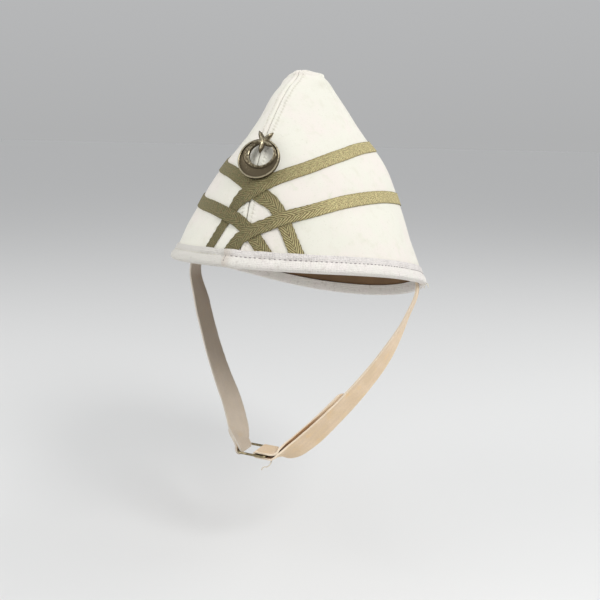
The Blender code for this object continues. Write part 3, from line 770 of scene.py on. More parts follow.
def crown_panel(name, cad_name, side):
    bm = laid_sheet(PANEL_COLUMNS, PANEL_ROWS, panel_place(side))
    face_outwards(bm)
    surface = BVHTree.FromBMesh(bm)
    panel = new_piece(bm, name, cotton)
    give_wall(panel, CLOTH_THICK)
    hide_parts(cad_name)
    print(name, "has", len(panel.data.polygons), "faces before its wall")
    return surface


cloth_left = crown_panel("crown_cloth_left", "crown_left", 1)
cloth_right = crown_panel("crown_cloth_right", "crown_right", -1)

# %% [markdown]
# ## Lining
# Inside, the crown is lined with brown drill, which shows only under the rim. It is one sheet
# laid all the way round, a little inside the panels, and welded where its two ends meet at the
# back. A smaller copy of the panels would do as well, but would carry their seam with it. A flat
# strip covers the seam here, and the lining hangs a little clear of the peak.

# %% Lining
WALL = 2.5
LINING_THICK = 0.7
LINING_COLUMNS = 150
LINING_ROWS = 60
STRIP_HALF = 5.0
STRIP_THICK = 0.35
STRIP_FADE = 1.0
PEAK_DROP = 3.5
PEAK_FROM = 120.0
PEAK_OVER = 35.0
WELD = 0.02


def lining_place(u, v):
    turn = 360.0 * u - 180.0
    rise = slope_length(90.0)
    height = np.interp(v * rise[-1], rise, FINE_HEIGHTS)
    point, _, _, outward = crown_frame(height, turn)
    strip = ease((STRIP_HALF + STRIP_FADE - np.abs(point[:, 0])) / STRIP_FADE)
    out = dents(point, height) - WALL - STRIP_THICK * strip
    laid = point + outward * out[:, None]
    laid[:, 2] -= PEAK_DROP * ease((height - PEAK_FROM) / PEAK_OVER)
    return laid, np.column_stack((girth(height, turn) * np.sign(turn), v * rise[-1]))


def crown_lining():
    bm = laid_sheet(LINING_COLUMNS, LINING_ROWS, lining_place)
    bmesh.ops.remove_doubles(bm, verts=bm.verts, dist=WELD * MM)
    face_outwards(bm)
    bmesh.ops.reverse_faces(bm, faces=bm.faces)
    made = new_piece(bm, "lining", lining)
    give_wall(made, LINING_THICK)
    print("the lining has", len(made.data.polygons), "faces")


crown_lining()

# %% [markdown]
# ## Topstitching
# A row of stitches runs on each side of the seam. Each stitch is one small bead of thread,
# pressed half into the cloth. A curve with a bevel could follow the whole row, but single beads
# show the gaps between stitches. They are stretched spheres with few faces, because there
# are hundreds of them.

# %% Topstitching
STITCH_LENGTH = 2.1
STITCH_SIDES = 7
STITCH_RINGS = 5
STITCH_FLATNESS = 0.8
STITCH_UNEVEN = 0.35
UNEVEN_SIZE = 2.3
THREAD_RADIUS = 0.24
SEAM_STITCH_FROM = 13.0
SEAM_STEPS = 90
TOP_STEPS = 13


def thread_finish(name, colour):
    finish, tree, shader = new_finish(name, 0.75, sheen=0.3)
    shade = blend(tree, mottle(tree, 3.0), tuple(0.75 * part for part in colour), colour)
    tree.links.new(shade, shader.inputs["Base Color"])
    return finish


def add_stitch(bm, spot, along, outward, length, radius):
    """One bead of thread that lies along the cloth."""
    along = along.normalized()
    side = outward.cross(along).normalized()
    up = along.cross(side)
    axes = Matrix((side * radius, up * radius * STITCH_FLATNESS, along * length / 2))
    place = Matrix.Translation(spot) @ axes.transposed().to_4x4()
    bmesh.ops.create_uvsphere(
        bm, u_segments=STITCH_SIDES, v_segments=STITCH_RINGS, radius=1.0, matrix=place
    )


def sew(bm, points, outwards, length=STITCH_LENGTH, radius=THREAD_RADIUS):
    """Sews a slightly uneven bead at each inner point, and returns their number."""
    for before, spot, after, outward in zip(points, points[1:], points[2:], outwards[1:]):
        uneven = 1 + STITCH_UNEVEN * noise.noise(spot / (UNEVEN_SIZE * MM))
        add_stitch(bm, spot, after - before, outward, uneven * length * MM, uneven * radius * MM)
    return len(points) - 2


def seam_path():
    """The seam's own line, from the front rim over the top to the back rim."""
    rising = np.linspace(SEAM_STITCH_FROM, CROWN_HEIGHT, SEAM_STEPS)
    front = crown_surface(rising, np.zeros(rising.shape))
    over = crown_surface(np.full(TOP_STEPS, CROWN_HEIGHT), np.linspace(0.0, 180.0, TOP_STEPS))
    back = crown_surface(rising[::-1], np.full(rising.shape, 180.0))
    points = np.concatenate((front[:-1], over, back[1:]))
    run = run_length(points)
    at = np.arange(0.0, run[-1], STITCH_PITCH)
    return np.column_stack([np.interp(at, run, points[:, i]) for i in range(3)])


def seam_stitches():
    bm = bmesh.new()
    count = 0
    for side, surface in ((1, cloth_left), (-1, cloth_right)):
        spots, outwards = [], []
        for point in seam_path():
            beside = Vector(point + (side * STITCH_LINE, 0.0, 0.0)) * MM
            spot, outward, _, _ = surface.find_nearest(beside)
            spots.append(spot)
            outwards.append(outward)
        count += sew(bm, spots, outwards)
    print(count, "stitches beside the seam")
    new_piece(bm, "seam_stitches", ivory_thread)


ivory_thread = thread_finish("ivory_thread", (0.76, 0.73, 0.62))
seam_stitches()

# %% [markdown]
# ## Tape routes
# Two tapes go round the crown and cross at the front, each end over one neighbour and under the
# next. A tape's route is a short list of turns and heights, read as a smooth curve on the
# crown. A curve object snapped to the cloth would do as well, but a list is easier to check
# against a photograph. All the ends go under the rim binding.

# %% Tape routes
FINE_PER_ROW = 40
TAPE_COLUMNS = ("turn", "height")
UPPER_TAPE = (
    (-15.2, 7.6),
    (-11.8, 24.6),
    (-10.5, 31.4),
    (-9.0, 39.4),
    (-5.8, 48.0),
    (0.0, 54.0),
    (12.0, 64.2),
    (22.0, 70.3),
    (31.0, 75.2),
    (40.0, 80.5),
    (54.0, 88.5),
    (70.0, 95.9),
    (102.0, 102.0),
    (180.0, 101.0),
    (258.0, 93.0),
    (290.0, 84.5),
    (319.0, 75.2),
    (343.0, 68.4),
    (354.0, 62.6),
    (366.5, 51.8),
    (373.0, 46.5),
    (376.2, 40.0),
    (379.0, 30.0),
    (384.6, 7.6),
)
LOWER_TAPE = (
    (-4.5, 7.6),
    (-0.8, 19.5),
    (3.0, 25.2),
    (13.0, 33.0),
    (19.0, 36.8),
    (31.0, 43.0),
    (56.0, 54.5),
    (104.0, 62.5),
    (180.0, 64.0),
    (256.0, 57.5),
    (300.0, 49.6),
    (319.0, 45.4),
    (340.0, 41.0),
    (350.0, 36.9),
    (356.0, 33.6),
    (360.3, 29.0),
    (364.8, 22.0),
    (371.6, 7.6),
)


def route(table, spacing):
    """Points of a tape's route, as turns and heights, about `spacing` apart along the cloth."""
    turns = column(table, TAPE_COLUMNS, "turn")
    heights = column(table, TAPE_COLUMNS, "height")
    length = run_length(crown_surface(heights, turns))
    fine = np.linspace(0.0, length[-1], FINE_PER_ROW * len(table))
    points = crown_surface(smooth(length, heights, fine), smooth(length, turns, fine))
    travelled = run_length(points)
    count = int(round(travelled[-1] / spacing)) + 1
    at = np.interp(np.linspace(0.0, travelled[-1], count), travelled, fine)
    return smooth(length, turns, at), smooth(length, heights, at)


print("the tape routes have", len(UPPER_TAPE), "and", len(LOWER_TAPE), "points")

# %% [markdown]
# ## Crossings
# Where a tape passes over another it is raised by one tape's thickness, and it climbs and falls
# over a few millimetres. The places where tapes cross could be typed in. Finding them as the
# closest points of two routes keeps them right when a route is changed.

# %% Crossings
CROSSING_REACH = 9.0
CROSSING_RAMP = 3.5


def meeting(first, second):
    """The point where two lines of points cross: the middle of their closest pair."""
    distance = np.linalg.norm(first[:, None] - second[None], axis=2)
    i, j = np.unravel_index(np.argmin(distance), distance.shape)
    return (first[i] + second[j]) / 2


def tape_crossings():
    """The points that each end of each tape has to pass over."""
    upper, lower = (
        crown_surface(heights, turns)
        for turns, heights in (route(UPPER_TAPE, 1.0), route(LOWER_TAPE, 1.0))
    )
    upper_first, upper_last = upper[: len(upper) // 3], upper[-len(upper) // 3 :]
    lower_first, lower_last = lower[: len(lower) // 3], lower[-len(lower) // 3 :]
    return {
        "upper": ((meeting(upper_first, upper_last),), ()),
        "lower": (
            (meeting(lower_first, lower_last), meeting(lower_first, upper_last)),
            (meeting(lower_last, upper_first),),
        ),
    }


def raised_share(points, over):
    """How much of a layer each point is raised by, near the crossings that it passes over."""
    raised = np.zeros(len(points))
    for crossing in over:
        distance = np.linalg.norm(points - crossing, axis=1)
        near = ease((CROSSING_REACH + CROSSING_RAMP - distance) / CROSSING_RAMP)
        raised = np.maximum(raised, near)
    return raised


crossings = tape_crossings()
places = [place for ends in crossings.values() for end in ends for place in end]
print("the tapes cross at", len(places), "places")

# %% [markdown]
# ## Tape lines
# A tape's middle line says, for each point of its route, how far the tape stands off and which
# small steps of turn and height lead across it. By those steps the tape stays on the cloth.
# Moving it straight sideways in space would lift its edges off the curved crown. One end is
# gathered to 0.7 of its width, and under the badge the upper tape has spread a little where it
# crosses itself.

# %% Tape lines
TAPE_THICK = 0.8
TAPE_GAP = 0.12
TAPE_SPACING = 1.1
GATHERED_SHARE = 0.3
GATHERED_FROM = 56.0
GATHERED_OVER = 26.0
SPREAD = 1.7
SPREAD_REACH = 24.0
SPREAD_RAMP = 14.0


def lane_shares(heights, turns, along):
    """The change of turn and of height that moves a point 1 mm across its tape."""
    _, around, up, outward = crown_frame(heights, turns)
    across = np.cross(outward, along)
    before, after = crown_surface(heights, turns - NUDGE), crown_surface(heights, turns + NUDGE)
    below, above = crown_surface(heights - NUDGE, turns), crown_surface(heights + NUDGE, turns)
    around_step = np.linalg.norm(after - before, axis=1) / (2 * NUDGE)
    up_step = np.linalg.norm(above - below, axis=1) / (2 * NUDGE)
    skew = np.sum(around * up, axis=1)
    along_round = np.sum(across * around, axis=1)
    along_up = np.sum(across * up, axis=1)
    turn_share = (along_round - skew * along_up) / (1 - skew**2) / around_step
    height_share = (along_up - skew * along_round) / (1 - skew**2) / up_step
    return turn_share, height_share


def tape_line(table, over, gathered, spread_at):
    """A tape's middle line, with its steps across, its lift, its spread and its length."""
    turns, heights = route(table, TAPE_SPACING)
    centres = crown_surface(heights, turns)
    half = len(centres) // 2
    first, last = raised_share(centres[:half], over[0]), raised_share(centres[half:], over[1])
    raised = np.concatenate((first, last))
    turn_share, height_share = lane_shares(heights, turns, unit(np.gradient(centres, axis=0)))
    lift = TAPE_GAP + raised * (TAPE_THICK + TAPE_GAP)
    travelled = run_length(centres)
    kept = 1 - gathered * ease((GATHERED_FROM - travelled) / GATHERED_OVER)
    spread = np.zeros(len(centres))
    if spread_at is not None:
        from_crossing = np.linalg.norm(centres - spread_at, axis=1)
        spread = SPREAD * ease((SPREAD_REACH - from_crossing) / SPREAD_RAMP)
    return turns, heights, turn_share * kept, height_share * kept, lift, spread, travelled


print("a tape's points stand", TAPE_SPACING, "mm apart")

# %% [markdown]
# ## Tapes on the crown
# Each tape is one laid sheet along its middle line. Along the steep ends it puckers, because a
# straight tape is eased round a curve. The puckers could be sculpted by hand, but a wave keeps
# them as even as sewing does, and a slow drift keeps it from looking ruled.

# %% Tapes on the crown
TAPE_END = 8.4
TAPE_LANES = 12
TAPE_ROUNDING = 0.25
PUCKER_DEPTH = 0.34
PUCKER_PITCH = 5.2
PUCKER_RUN = 95.0
PUCKER_LEAST = 0.2
PUCKER_BELOW = -0.8
PUCKER_DRIFT = 2.4
DRIFT_RATE = 0.11
EDGE_WOBBLE = 0.12
EDGE_FRAY = 0.16
FRAY_SIZE = 2.4
FRAY_ACROSS = 50
STEEP_RUN = 94.0
STEEP_FADE = 34.0


def cloth_noise(along, across, size):
    """Smooth noise from -1 to 1 at places along a strip of cloth and across it."""
    return noise_at(np.column_stack((along, across, 0 * across)), size)


def tape_place(line):
    """Where the points of a tape's outer face go."""
    turns, heights, turn_share, height_share, lift, spread, travelled = line

    def place(u, v):
        i = np.rint(u * (len(turns) - 1)).astype(int)
        lane = (v - 0.5) * TAPE_WIDTH + v * spread[i]
        to_end = np.minimum(travelled[i], travelled[-1] - travelled[i])
        end_share = ease((PUCKER_RUN - to_end) / (0.5 * PUCKER_RUN))
        eased = PUCKER_LEAST + (1 - PUCKER_LEAST) * end_share
        drift = PUCKER_DRIFT * np.sin(DRIFT_RATE * travelled[i])
        wave = np.sin(2 * math.pi * travelled[i] / PUCKER_PITCH + drift)
        outer = (2 * np.abs(v - 0.5)) ** 2
        pucker = PUCKER_DEPTH * eased * wave * outer * np.where(v > 0.5, 1.0, PUCKER_BELOW)
        out = lift[i] + TAPE_THICK + np.maximum(pucker, -TAPE_GAP / 2)
        frayed = EDGE_FRAY * cloth_noise(travelled[i], FRAY_ACROSS * v, FRAY_SIZE)
        wobble = (EDGE_WOBBLE * eased * wave * np.sign(v - 0.5) + frayed) * outer
        height = np.maximum(heights[i] + (lane + wobble) * height_share[i], TAPE_END)
        turn = turns[i] + (lane + wobble) * turn_share[i]
        return on_crown(height, turn, out), np.column_stack((travelled[i], lane))

    return place


def mark_steep_ends(bm, length):
    """Stores how near each point of a tape is to one of its steep ends, from 0 to 1."""
    steep = bm.verts.layers.float.new("steep")
    uv = bm.loops.layers.uv["cloth"]
    for face in bm.faces:
        for loop in face.loops:
            along = loop[uv].uv[0] / MM
            to_end = min(along, length - along)
            loop.vert[steep] = float(ease((STEEP_RUN - to_end) / STEEP_FADE))


def tape(name, cad_name, table, over, gathered=0.0, spread_at=None):
    line = tape_line(table, over, gathered, spread_at)
    length = line[-1][-1]
    bm = laid_sheet(len(line[0]) - 1, TAPE_LANES, tape_place(line))
    mark_steep_ends(bm, length)
    face_outwards(bm)
    made = new_piece(bm, name, tape_cloth)
    give_wall(made, TAPE_THICK, rounding=TAPE_ROUNDING)
    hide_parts(cad_name)
    print(name, "is", round(length), "mm long")


over_upper, over_lower = crossings["upper"], crossings["lower"]
own_crossing = over_upper[0][0]
tape("herringbone_upper", "tape_upper", UPPER_TAPE, over_upper, GATHERED_SHARE, own_crossing)
tape("herringbone_lower", "tape_lower", LOWER_TAPE, over_lower)

# %% [markdown]
# ## Binding cloth
# The rim is bound with a pale ribbed tape. Ribs across it and rows along it make the weave,
# which shows on the flat part over the stitches and is worn away in patches. The first end is
# browned by handling, and the last stretch has gone dull and smooth, so both are read from the
# distance along the tape. Two more materials would do that too, but with a hard edge.

# %% Binding cloth
DULL_STRETCH = (545.0, 600.0)
BROWNED_END = (11.0, 0.5)


def ribbed_tape():
    finish, tree, shader = new_finish("ribbed_binding", 0.88, sheen=0.2)
    along, across = cloth_place(tree)
    ribs = stripes(tree, along, 1.2)
    rows = stripes(tree, across, 1.3)
    weave = times_plus(tree, rows, 0.7, ribs)
    flat = ramp(tree, across, 5.4, 4.6)
    grain = flecks(tree, along, across, 1.3, 0.9)
    patch = patches(tree, 11.0, 0.38, 0.60)
    rosy = patches(tree, 14.0, 0.35, 0.70)
    pale = blend(tree, rosy, (0.86, 0.83, 0.765), (0.88, 0.825, 0.78))
    band = blend(tree, times(tree, flat, 0.75), pale, (0.80, 0.755, 0.725))
    worn = blend(tree, patches(tree, 4.0, 0.54, 0.80, 5.0), band, (0.66, 0.60, 0.55))
    plain = ramp(tree, along, *DULL_STRETCH)
    ribbed = sum_of(tree, "SUBTRACT", times(tree, flat, patch), plain, clamp=True)
    coarse = times_plus(tree, ribbed, 0.32, 0.15)
    hollow = ramp(tree, times_plus(tree, grain, 1.1, weave), 1.9, 0.4)
    dark = times(tree, hollow, coarse)
    woven = blend(tree, dark, worn, (0.29, 0.265, 0.27))
    dulled = blend(tree, times(tree, plain, 0.7), woven, (0.63, 0.61, 0.55))
    handled = times(tree, ramp(tree, along, *BROWNED_END), 0.6)
    browned = blend(tree, handled, dulled, (0.55, 0.48, 0.39))
    tree.links.new(browned, shader.inputs["Base Color"])
    raise_surface(tree, shader, plus(tree, weave, grain), 0.2)
    return finish


binding_cloth = ribbed_tape()
print("the binding goes dull from", DULL_STRETCH[0], "mm on")

# %% [markdown]
# ## The binding's form
# The binding is folded over the raw edge. Above its stitches it lies flat, and below them it
# rolls round the edge, as a short table of its section says. It swells where it covers a tape's
# end, and its first end stands out where it overlaps the last, beside the front seam. All that
# depends on the distance round the rim. It could be told by the turn, but the rim is longer
# than it is wide, so equal turns aren't equal lengths of tape.

# %% The binding's form
# Columns: out, up
BINDING_SECTION = (
    (1.05, 11.4),
    (1.30, 10.9),
    (1.30, 8.4),
    (1.12, 7.3),
    (0.90, 6.6),
    (1.22, 5.9),
    (1.85, 4.6),
    (2.20, 3.0),
    (2.15, 1.2),
    (1.50, -0.3),
    (0.20, -1.05),
    (-1.25, -1.35),
    (-2.90, -1.1),
    (-4.00, 0.2),
    (-4.25, 2.0),
    (-3.85, 7.0),
)
BINDING_STITCH_UP = 6.6
BINDING_JOIN = -5.2
BINDING_LIFT = 0.95
LIFT_HELD = 6.0
LIFT_OVER = 8.0
TAPE_END_TURNS = (-14.8, -3.8, 10.6, 24.2)
TAPE_END_HALF = 7.0
TAPE_END_SWELL = 0.95
TAPE_END_RAMP = 2.5
RIM_TURNS = np.linspace(-20.0, 380.0, 801)
RIM_PLACES = run_length(crown_surface(np.zeros(RIM_TURNS.shape), RIM_TURNS))


def round_the_rim(turn):
    """The distance round the rim to a turn."""
    return np.interp(turn, RIM_TURNS, RIM_PLACES)


def swell_over_tapes(turn):
    """How far the binding stands out over the ends of the tapes."""
    swell = np.zeros(np.shape(turn))
    for end in TAPE_END_TURNS:
        for lap in (end, end + 360.0):
            distance = np.abs(round_the_rim(turn) - round_the_rim(lap))
            near = ease((TAPE_END_HALF + TAPE_END_RAMP - distance) / TAPE_END_RAMP)
            swell = np.maximum(swell, near)
    return TAPE_END_SWELL * swell


def overlap_lift(travelled):
    """How far the binding's first end stands out over the end that it covers."""
    return BINDING_LIFT * ease(1 - (travelled - LIFT_HELD) / LIFT_OVER)


print("the rim is", round(round_the_rim(360.0) - round_the_rim(0.0)), "mm round")

# %% [markdown]
# ## Binding round the rim
# The binding is one strip, laid round the rim by its section, with a slow noise that keeps it
# from looking cast. A curve with this section as its bevel would be shorter, but couldn't swell
# over the ends of the tapes.

# %% Binding round the rim
BINDING_THICK = 0.9
BINDING_ROUNDING = 0.25
BINDING_OVERLAP = 4.5
BINDING_LIFT_INSIDE = -0.3
OUTSIDE_SHARE = 0.55
BINDING_UNEVEN = 0.16
BINDING_UNEVEN_SIZE = 7.0
EDGE_WANDER = 0.25
EDGE_WANDER_SIZE = 16.0
EDGE_WIDTH = 0.5
SWELL_UP_RAMP = 2.0
SWELL_SHARE = 0.3
BINDING_SPACING = 1.3
BINDING_LANES = 40


def binding_place(u, v):
    """Where the points of the binding's outer face go, with v from its upper edge inwards."""
    section = np.array(BINDING_SECTION)
    width = run_length(section)
    at = v * width[-1]
    up = smooth(width, section[:, 1], at)
    turn = BINDING_JOIN + u * (360.0 + BINDING_OVERLAP)
    travelled = round_the_rim(turn) - round_the_rim(BINDING_JOIN)
    outside = np.where(at < OUTSIDE_SHARE * width[-1], 1.0, BINDING_LIFT_INSIDE)
    uneven = BINDING_UNEVEN * cloth_noise(travelled, at, BINDING_UNEVEN_SIZE)
    covered = swell_over_tapes(turn) * ease((up - BINDING_STITCH_UP) / SWELL_UP_RAMP)
    covered = covered * (at < SWELL_SHARE * width[-1])
    stand_off = (overlap_lift(travelled) + uneven) * outside
    out = smooth(width, section[:, 0], at) + stand_off + covered
    wander = EDGE_WANDER * cloth_noise(travelled, 0 * at, EDGE_WANDER_SIZE)
    up = up + wander * (at < EDGE_WIDTH)
    return on_crown(up, turn, out), np.column_stack((travelled, at))


def rim_binding():
    length = RIM_PLACES[-1] - round_the_rim(RIM_TURNS[-1] - 360.0)
    bm = laid_sheet(int(length / BINDING_SPACING), BINDING_LANES, binding_place)
    face_outwards(bm)
    made = new_piece(bm, "rim_tape", binding_cloth)
    give_wall(made, BINDING_THICK, rounding=BINDING_ROUNDING)
    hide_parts("rim_binding")
    print("the binding has", len(made.data.polygons), "faces before its wall")


rim_binding()

# %% [markdown]
# ## Binding stitches
# One row of stitches holds the binding, dark for most of the way and pale on the dull stretch,
# and a short upright run holds down its first end. They are beads as on the seam, but thicker,
# because this thread is coarser. A bump in the finish would be cheaper, but would show no
# thread against the light.

# %% Binding stitches
BINDING_PITCH = 3.9
BINDING_STITCH = (2.1, 0.36)
BINDING_STITCH_OUT = 1.05
DARK_RUN = (3.0, 560.0)
PALE_RUN = (561.6, 719.0)
JOIN_STITCH = (1.2, 0.34)
JOIN_STITCH_OUT = 0.1
JOIN_ROWS = 9
JOIN_HEIGHTS = np.arange(1.0, 12.4, 1.7)
JOIN_STITCH_IN = 1.6


def sewn_run(name, finish, heights, turns, lift, stitch):
    """One run of stitches on the binding, at heights and turns, with a length and a radius."""
    spots = [Vector(spot) * MM for spot in on_crown(heights, turns, lift)]
    outwards = [Vector(out) for out in crown_frame(np.maximum(heights, 0.0), turns)[3]]
    bm = bmesh.new()
    count = sew(bm, spots, outwards, *stitch)
    print(name, "has", count, "stitches")
    new_piece(bm, name, finish)


def past_the_join(distance):
    """The turn at a distance past the join, round by the wearer's left."""
    return np.interp(round_the_rim(BINDING_JOIN) + distance, RIM_PLACES, RIM_TURNS)


def binding_stitches(name, finish, run):
    """The stitches from one distance past the join to another."""
    past = np.arange(*run, BINDING_PITCH)
    heights = np.full(past.shape, BINDING_STITCH_UP)
    lift = BINDING_STITCH_OUT + overlap_lift(past)
    sewn_run(name, finish, heights, past_the_join(past), lift, BINDING_STITCH)


def join_stitches():
    """A short upright run that holds the binding's first end down."""
    out, up = np.array(BINDING_SECTION[:JOIN_ROWS][::-1]).T
    turns = np.full(JOIN_HEIGHTS.shape, past_the_join(JOIN_STITCH_IN))
    lift = np.interp(JOIN_HEIGHTS, up, out) + BINDING_LIFT + JOIN_STITCH_OUT
    sewn_run("join_stitches", grey_thread, JOIN_HEIGHTS, turns, lift, JOIN_STITCH)


grey_thread = thread_finish("grey_thread", (0.31, 0.27, 0.265))
binding_stitches("binding_stitches", grey_thread, DARK_RUN)
binding_stitches("binding_stitches_dull", ivory_thread, PALE_RUN)
join_stitches()

# %% [markdown]
# ## Aged brass
# The badge is cast brass that has darkened in its hollows and stays brighter on its edges.
# Noise mixes the brown skin with the bare metal, and roughens it where it is dull. A value
# stored at each point of the badge says how much that place has been rubbed. Pointiness could
# find the edges too, but it changes with how fine a mesh is.

# %% Aged brass
def aged_brass(name, dark, bright, size, skin, wear=0.0):
    finish, tree, shader = new_finish(name, 0.4, metallic=1.0)
    patina = mottle(tree, size, 5.0)
    if wear:
        worn = node(tree, "ShaderNodeAttribute", attribute_name="worn").outputs["Fac"]
        patina = times_plus(tree, worn, -wear, patina)
    dull = ramp(tree, patina, *skin)
    tree.links.new(blend(tree, dull, bright, dark), shader.inputs["Base Color"])
    tree.links.new(times_plus(tree, dull, 0.24, 0.28), shader.inputs["Roughness"])
    raise_surface(tree, shader, mottle(tree, 0.8, 4.0), 0.05)
    return finish


BADGE_DARK, BADGE_BRIGHT = (0.112, 0.090, 0.057), (0.44, 0.385, 0.265)
WIRE_DARK, WIRE_BRIGHT = (0.17, 0.14, 0.08), (0.36, 0.30, 0.18)
badge_brass = aged_brass("badge_brass", BADGE_DARK, BADGE_BRIGHT, 1.7, (0.10, 0.40), 0.38)
wire_brass = aged_brass("wire_brass", WIRE_DARK, WIRE_BRIGHT, 2.0, (0.38, 0.66))
print("finishes mixed:", badge_brass.name, "and", wire_brass.name)

# %% [markdown]
# ## Crescent
# The crescent is a ring whose hole sits high. It has a raised lip, a sunk field that is wide
# below and dies away at the sides, and a broad rounded ridge round the hole. Each of these is
# a loop of points round the badge, so the ring is a stack of loops bridged one to the next.
# Spinning one section round an axis would be shorter, but would put the hole in the middle.

# %% Crescent
GROOVE_RADIUS = 15.1
HOLE_RADIUS = 9.6
HOLE_SHIFT = Vector((1.5, 3.5))
FOOT_RADIUS = 14.3
FOOT_SHIFT = Vector((0.3, 5.8))
FOOT_LIMIT = 14.75
CIRCLE_STEPS = 96
# Columns: radius, rise
LIP = (
    (16.60, 0.0),
    (16.60, 1.6),
    (16.48, 2.05),
    (16.20, 2.35),
    (15.75, 2.40),
    (15.40, 2.20),
    (15.20, 1.75),
    (15.10, 1.30),
)
# Columns: share of the way to the ridge's foot, share of the way on to the hole, rise
RIDGE = (
    (0.12, 0.0, 1.20),
    (0.50, 0.0, 1.28),
    (0.88, 0.0, 1.38),
    (1.0, 0.0, 1.50),
    (1.0, 0.05, 1.85),
    (1.0, 0.14, 2.30),
    (1.0, 0.27, 2.70),
    (1.0, 0.42, 2.98),
    (1.0, 0.58, 3.12),
    (1.0, 0.74, 3.15),
    (1.0, 0.87, 3.02),
    (1.0, 0.96, 2.70),
    (1.0, 1.0, 2.30),
    (1.0, 1.0, 0.0),
)


def ring_point(direction, to_foot, to_hole):
    """A point between the lip, the foot of the ridge and the hole, in one direction."""
    along = direction.dot(FOOT_SHIFT)
    reach = along + math.sqrt(FOOT_RADIUS**2 - FOOT_SHIFT.length_squared + along**2)
    foot = direction * min(reach, FOOT_LIMIT)
    hole = HOLE_SHIFT + direction * HOLE_RADIUS
    return (direction * GROOVE_RADIUS).lerp(foot, to_foot).lerp(hole, to_hole)


def add_loop(bm, radius, rise, to_foot=None, to_hole=0.0):
    """A circle round the badge, or a loop that lies between the lip and the hole."""
    place = Matrix.Translation((0.0, 0.0, rise))
    made = bmesh.ops.create_circle(bm, segments=CIRCLE_STEPS, radius=radius, matrix=place)["verts"]
    if to_foot is not None:
        for vert in made:
            vert.co.xy = ring_point(vert.co.xy.normalized(), to_foot, to_hole)
    return list({edge for vert in made for edge in vert.link_edges})


def crescent():
    """The ring, as loops bridged in order and closed under the badge."""
    bm = bmesh.new()
    loops = [add_loop(bm, radius, rise) for radius, rise in LIP]
    for to_foot, to_hole, rise in RIDGE:
        loops.append(add_loop(bm, GROOVE_RADIUS, rise, to_foot, to_hole))
    for first, second in zip(loops, loops[1:] + loops[:1]):
        bmesh.ops.bridge_loops(bm, edges=first + second)
    bmesh.ops.recalc_face_normals(bm, faces=bm.faces)
    return bm


print("the crescent has", len(LIP) + len(RIDGE), "loops of", CIRCLE_STEPS, "points")

# %% [markdown]
# ## Star
# The star is a circle of points, pulled in between its five tips to the shape of leaves, then
# extruded and poked to a peak. The middle of each arm is raised to a ridge, and every edge is
# bevelled a little. A flat star would be simpler, but casting rounds the arms.

# %% Star
STAR_PLACE = Vector((0.7, 14.1, 0.0))
STAR_ARM = (10.2, 7.4, 5.0, 3.7, 5.0, 7.4)
STAR_ARMS = 5
STAR_TURN = 32.0
STAR_BASE = 1.7
STAR_EDGE = 3.2
STAR_RIDGE = 4.9
STAR_PEAK = 5.6
STAR_ARM_OUT = 0.2
STAR_TIP_SLACK = 0.5
STAR_ROUNDING = 0.24


def only(items, kind):
    """The items of one kind: vertices, edges or faces."""
    return [item for item in items if isinstance(item, kind)]


def star():
    """A five-pointed star with leaf-shaped arms and a ridge along each of them."""
    bm = bmesh.new()
    steps = STAR_ARMS * len(STAR_ARM)
    made = bmesh.ops.create_circle(bm, cap_ends=True, segments=steps, radius=1.0)
    for step, vert in enumerate(made["verts"]):
        vert.co = vert.co * STAR_ARM[step % len(STAR_ARM)]
    raised = bmesh.ops.extrude_face_region(bm, geom=bm.faces[:], use_keep_orig=True)
    top_verts = only(raised["geom"], bmesh.types.BMVert)
    bmesh.ops.translate(bm, vec=(0.0, 0.0, STAR_EDGE - STAR_BASE), verts=top_verts)
    top = only(raised["geom"], bmesh.types.BMFace)
    peak = bmesh.ops.poke(bm, faces=top)["verts"]
    bmesh.ops.translate(bm, vec=(0.0, 0.0, STAR_PEAK - STAR_EDGE), verts=peak)
    long_edge = STAR_ARM[0] - STAR_TIP_SLACK
    tips = [edge for edge in peak[0].link_edges if edge.calc_length() > long_edge]
    cut = bmesh.ops.subdivide_edges(bm, edges=tips, cuts=1)["geom_inner"]
    middles = only(cut, bmesh.types.BMVert)
    for middle in middles:
        rise = STAR_RIDGE - STAR_BASE - middle.co.z
        shift = (STAR_ARM_OUT * middle.co.x, STAR_ARM_OUT * middle.co.y, rise)
        bmesh.ops.translate(bm, vec=shift, verts=[middle])
    bmesh.ops.triangulate(bm, faces=[face for middle in middles for face in middle.link_faces])
    bmesh.ops.recalc_face_normals(bm, faces=bm.faces)
    bmesh.ops.bevel(
        bm, geom=bm.edges[:], offset=STAR_ROUNDING, affect="EDGES",
        segments=2, profile=0.5, material=-1,
    )
    bmesh.ops.rotate(bm, matrix=Matrix.Rotation(math.radians(STAR_TURN), 3, "Z"), verts=bm.verts)
    bmesh.ops.translate(bm, vec=STAR_PLACE + Vector((0.0, 0.0, STAR_BASE)), verts=bm.verts)
    return bm


print("the star has", STAR_ARMS, "arms of", STAR_ARM[0], "mm")

# %% [markdown]
# ## Badge
# Crescent and star are cast in one, so a union joins them. Laying one through the other would
# look alike from the front, but would leave an edge that no casting has. Each point then gets
# a value for how much it has been rubbed. The badge is set beside the seam, turned a little
# and standing clear of the tapes that cross under it.

# %% Badge
BADGE_HEIGHT = 79.0
BADGE_SIDE = 1.9
BADGE_TURN = 7.0
BADGE_STAND_OFF = 2.4
BADGE_SHARP_ANGLE = 38.0
LIP_RUB_FROM = 1.4
LIP_RUB_OVER = 0.9
RIDGE_RUB_FROM = 1.8
RIDGE_RUB_OVER = 1.2
RIDGE_RUB = 0.35
HOLE_EDGE_RUB = 0.5
HOLE_EDGE_AT = 0.5
HOLE_EDGE_WIDE = 0.9
STAR_MARGIN = 0.1
STAR_EDGE_MARGIN = 0.05


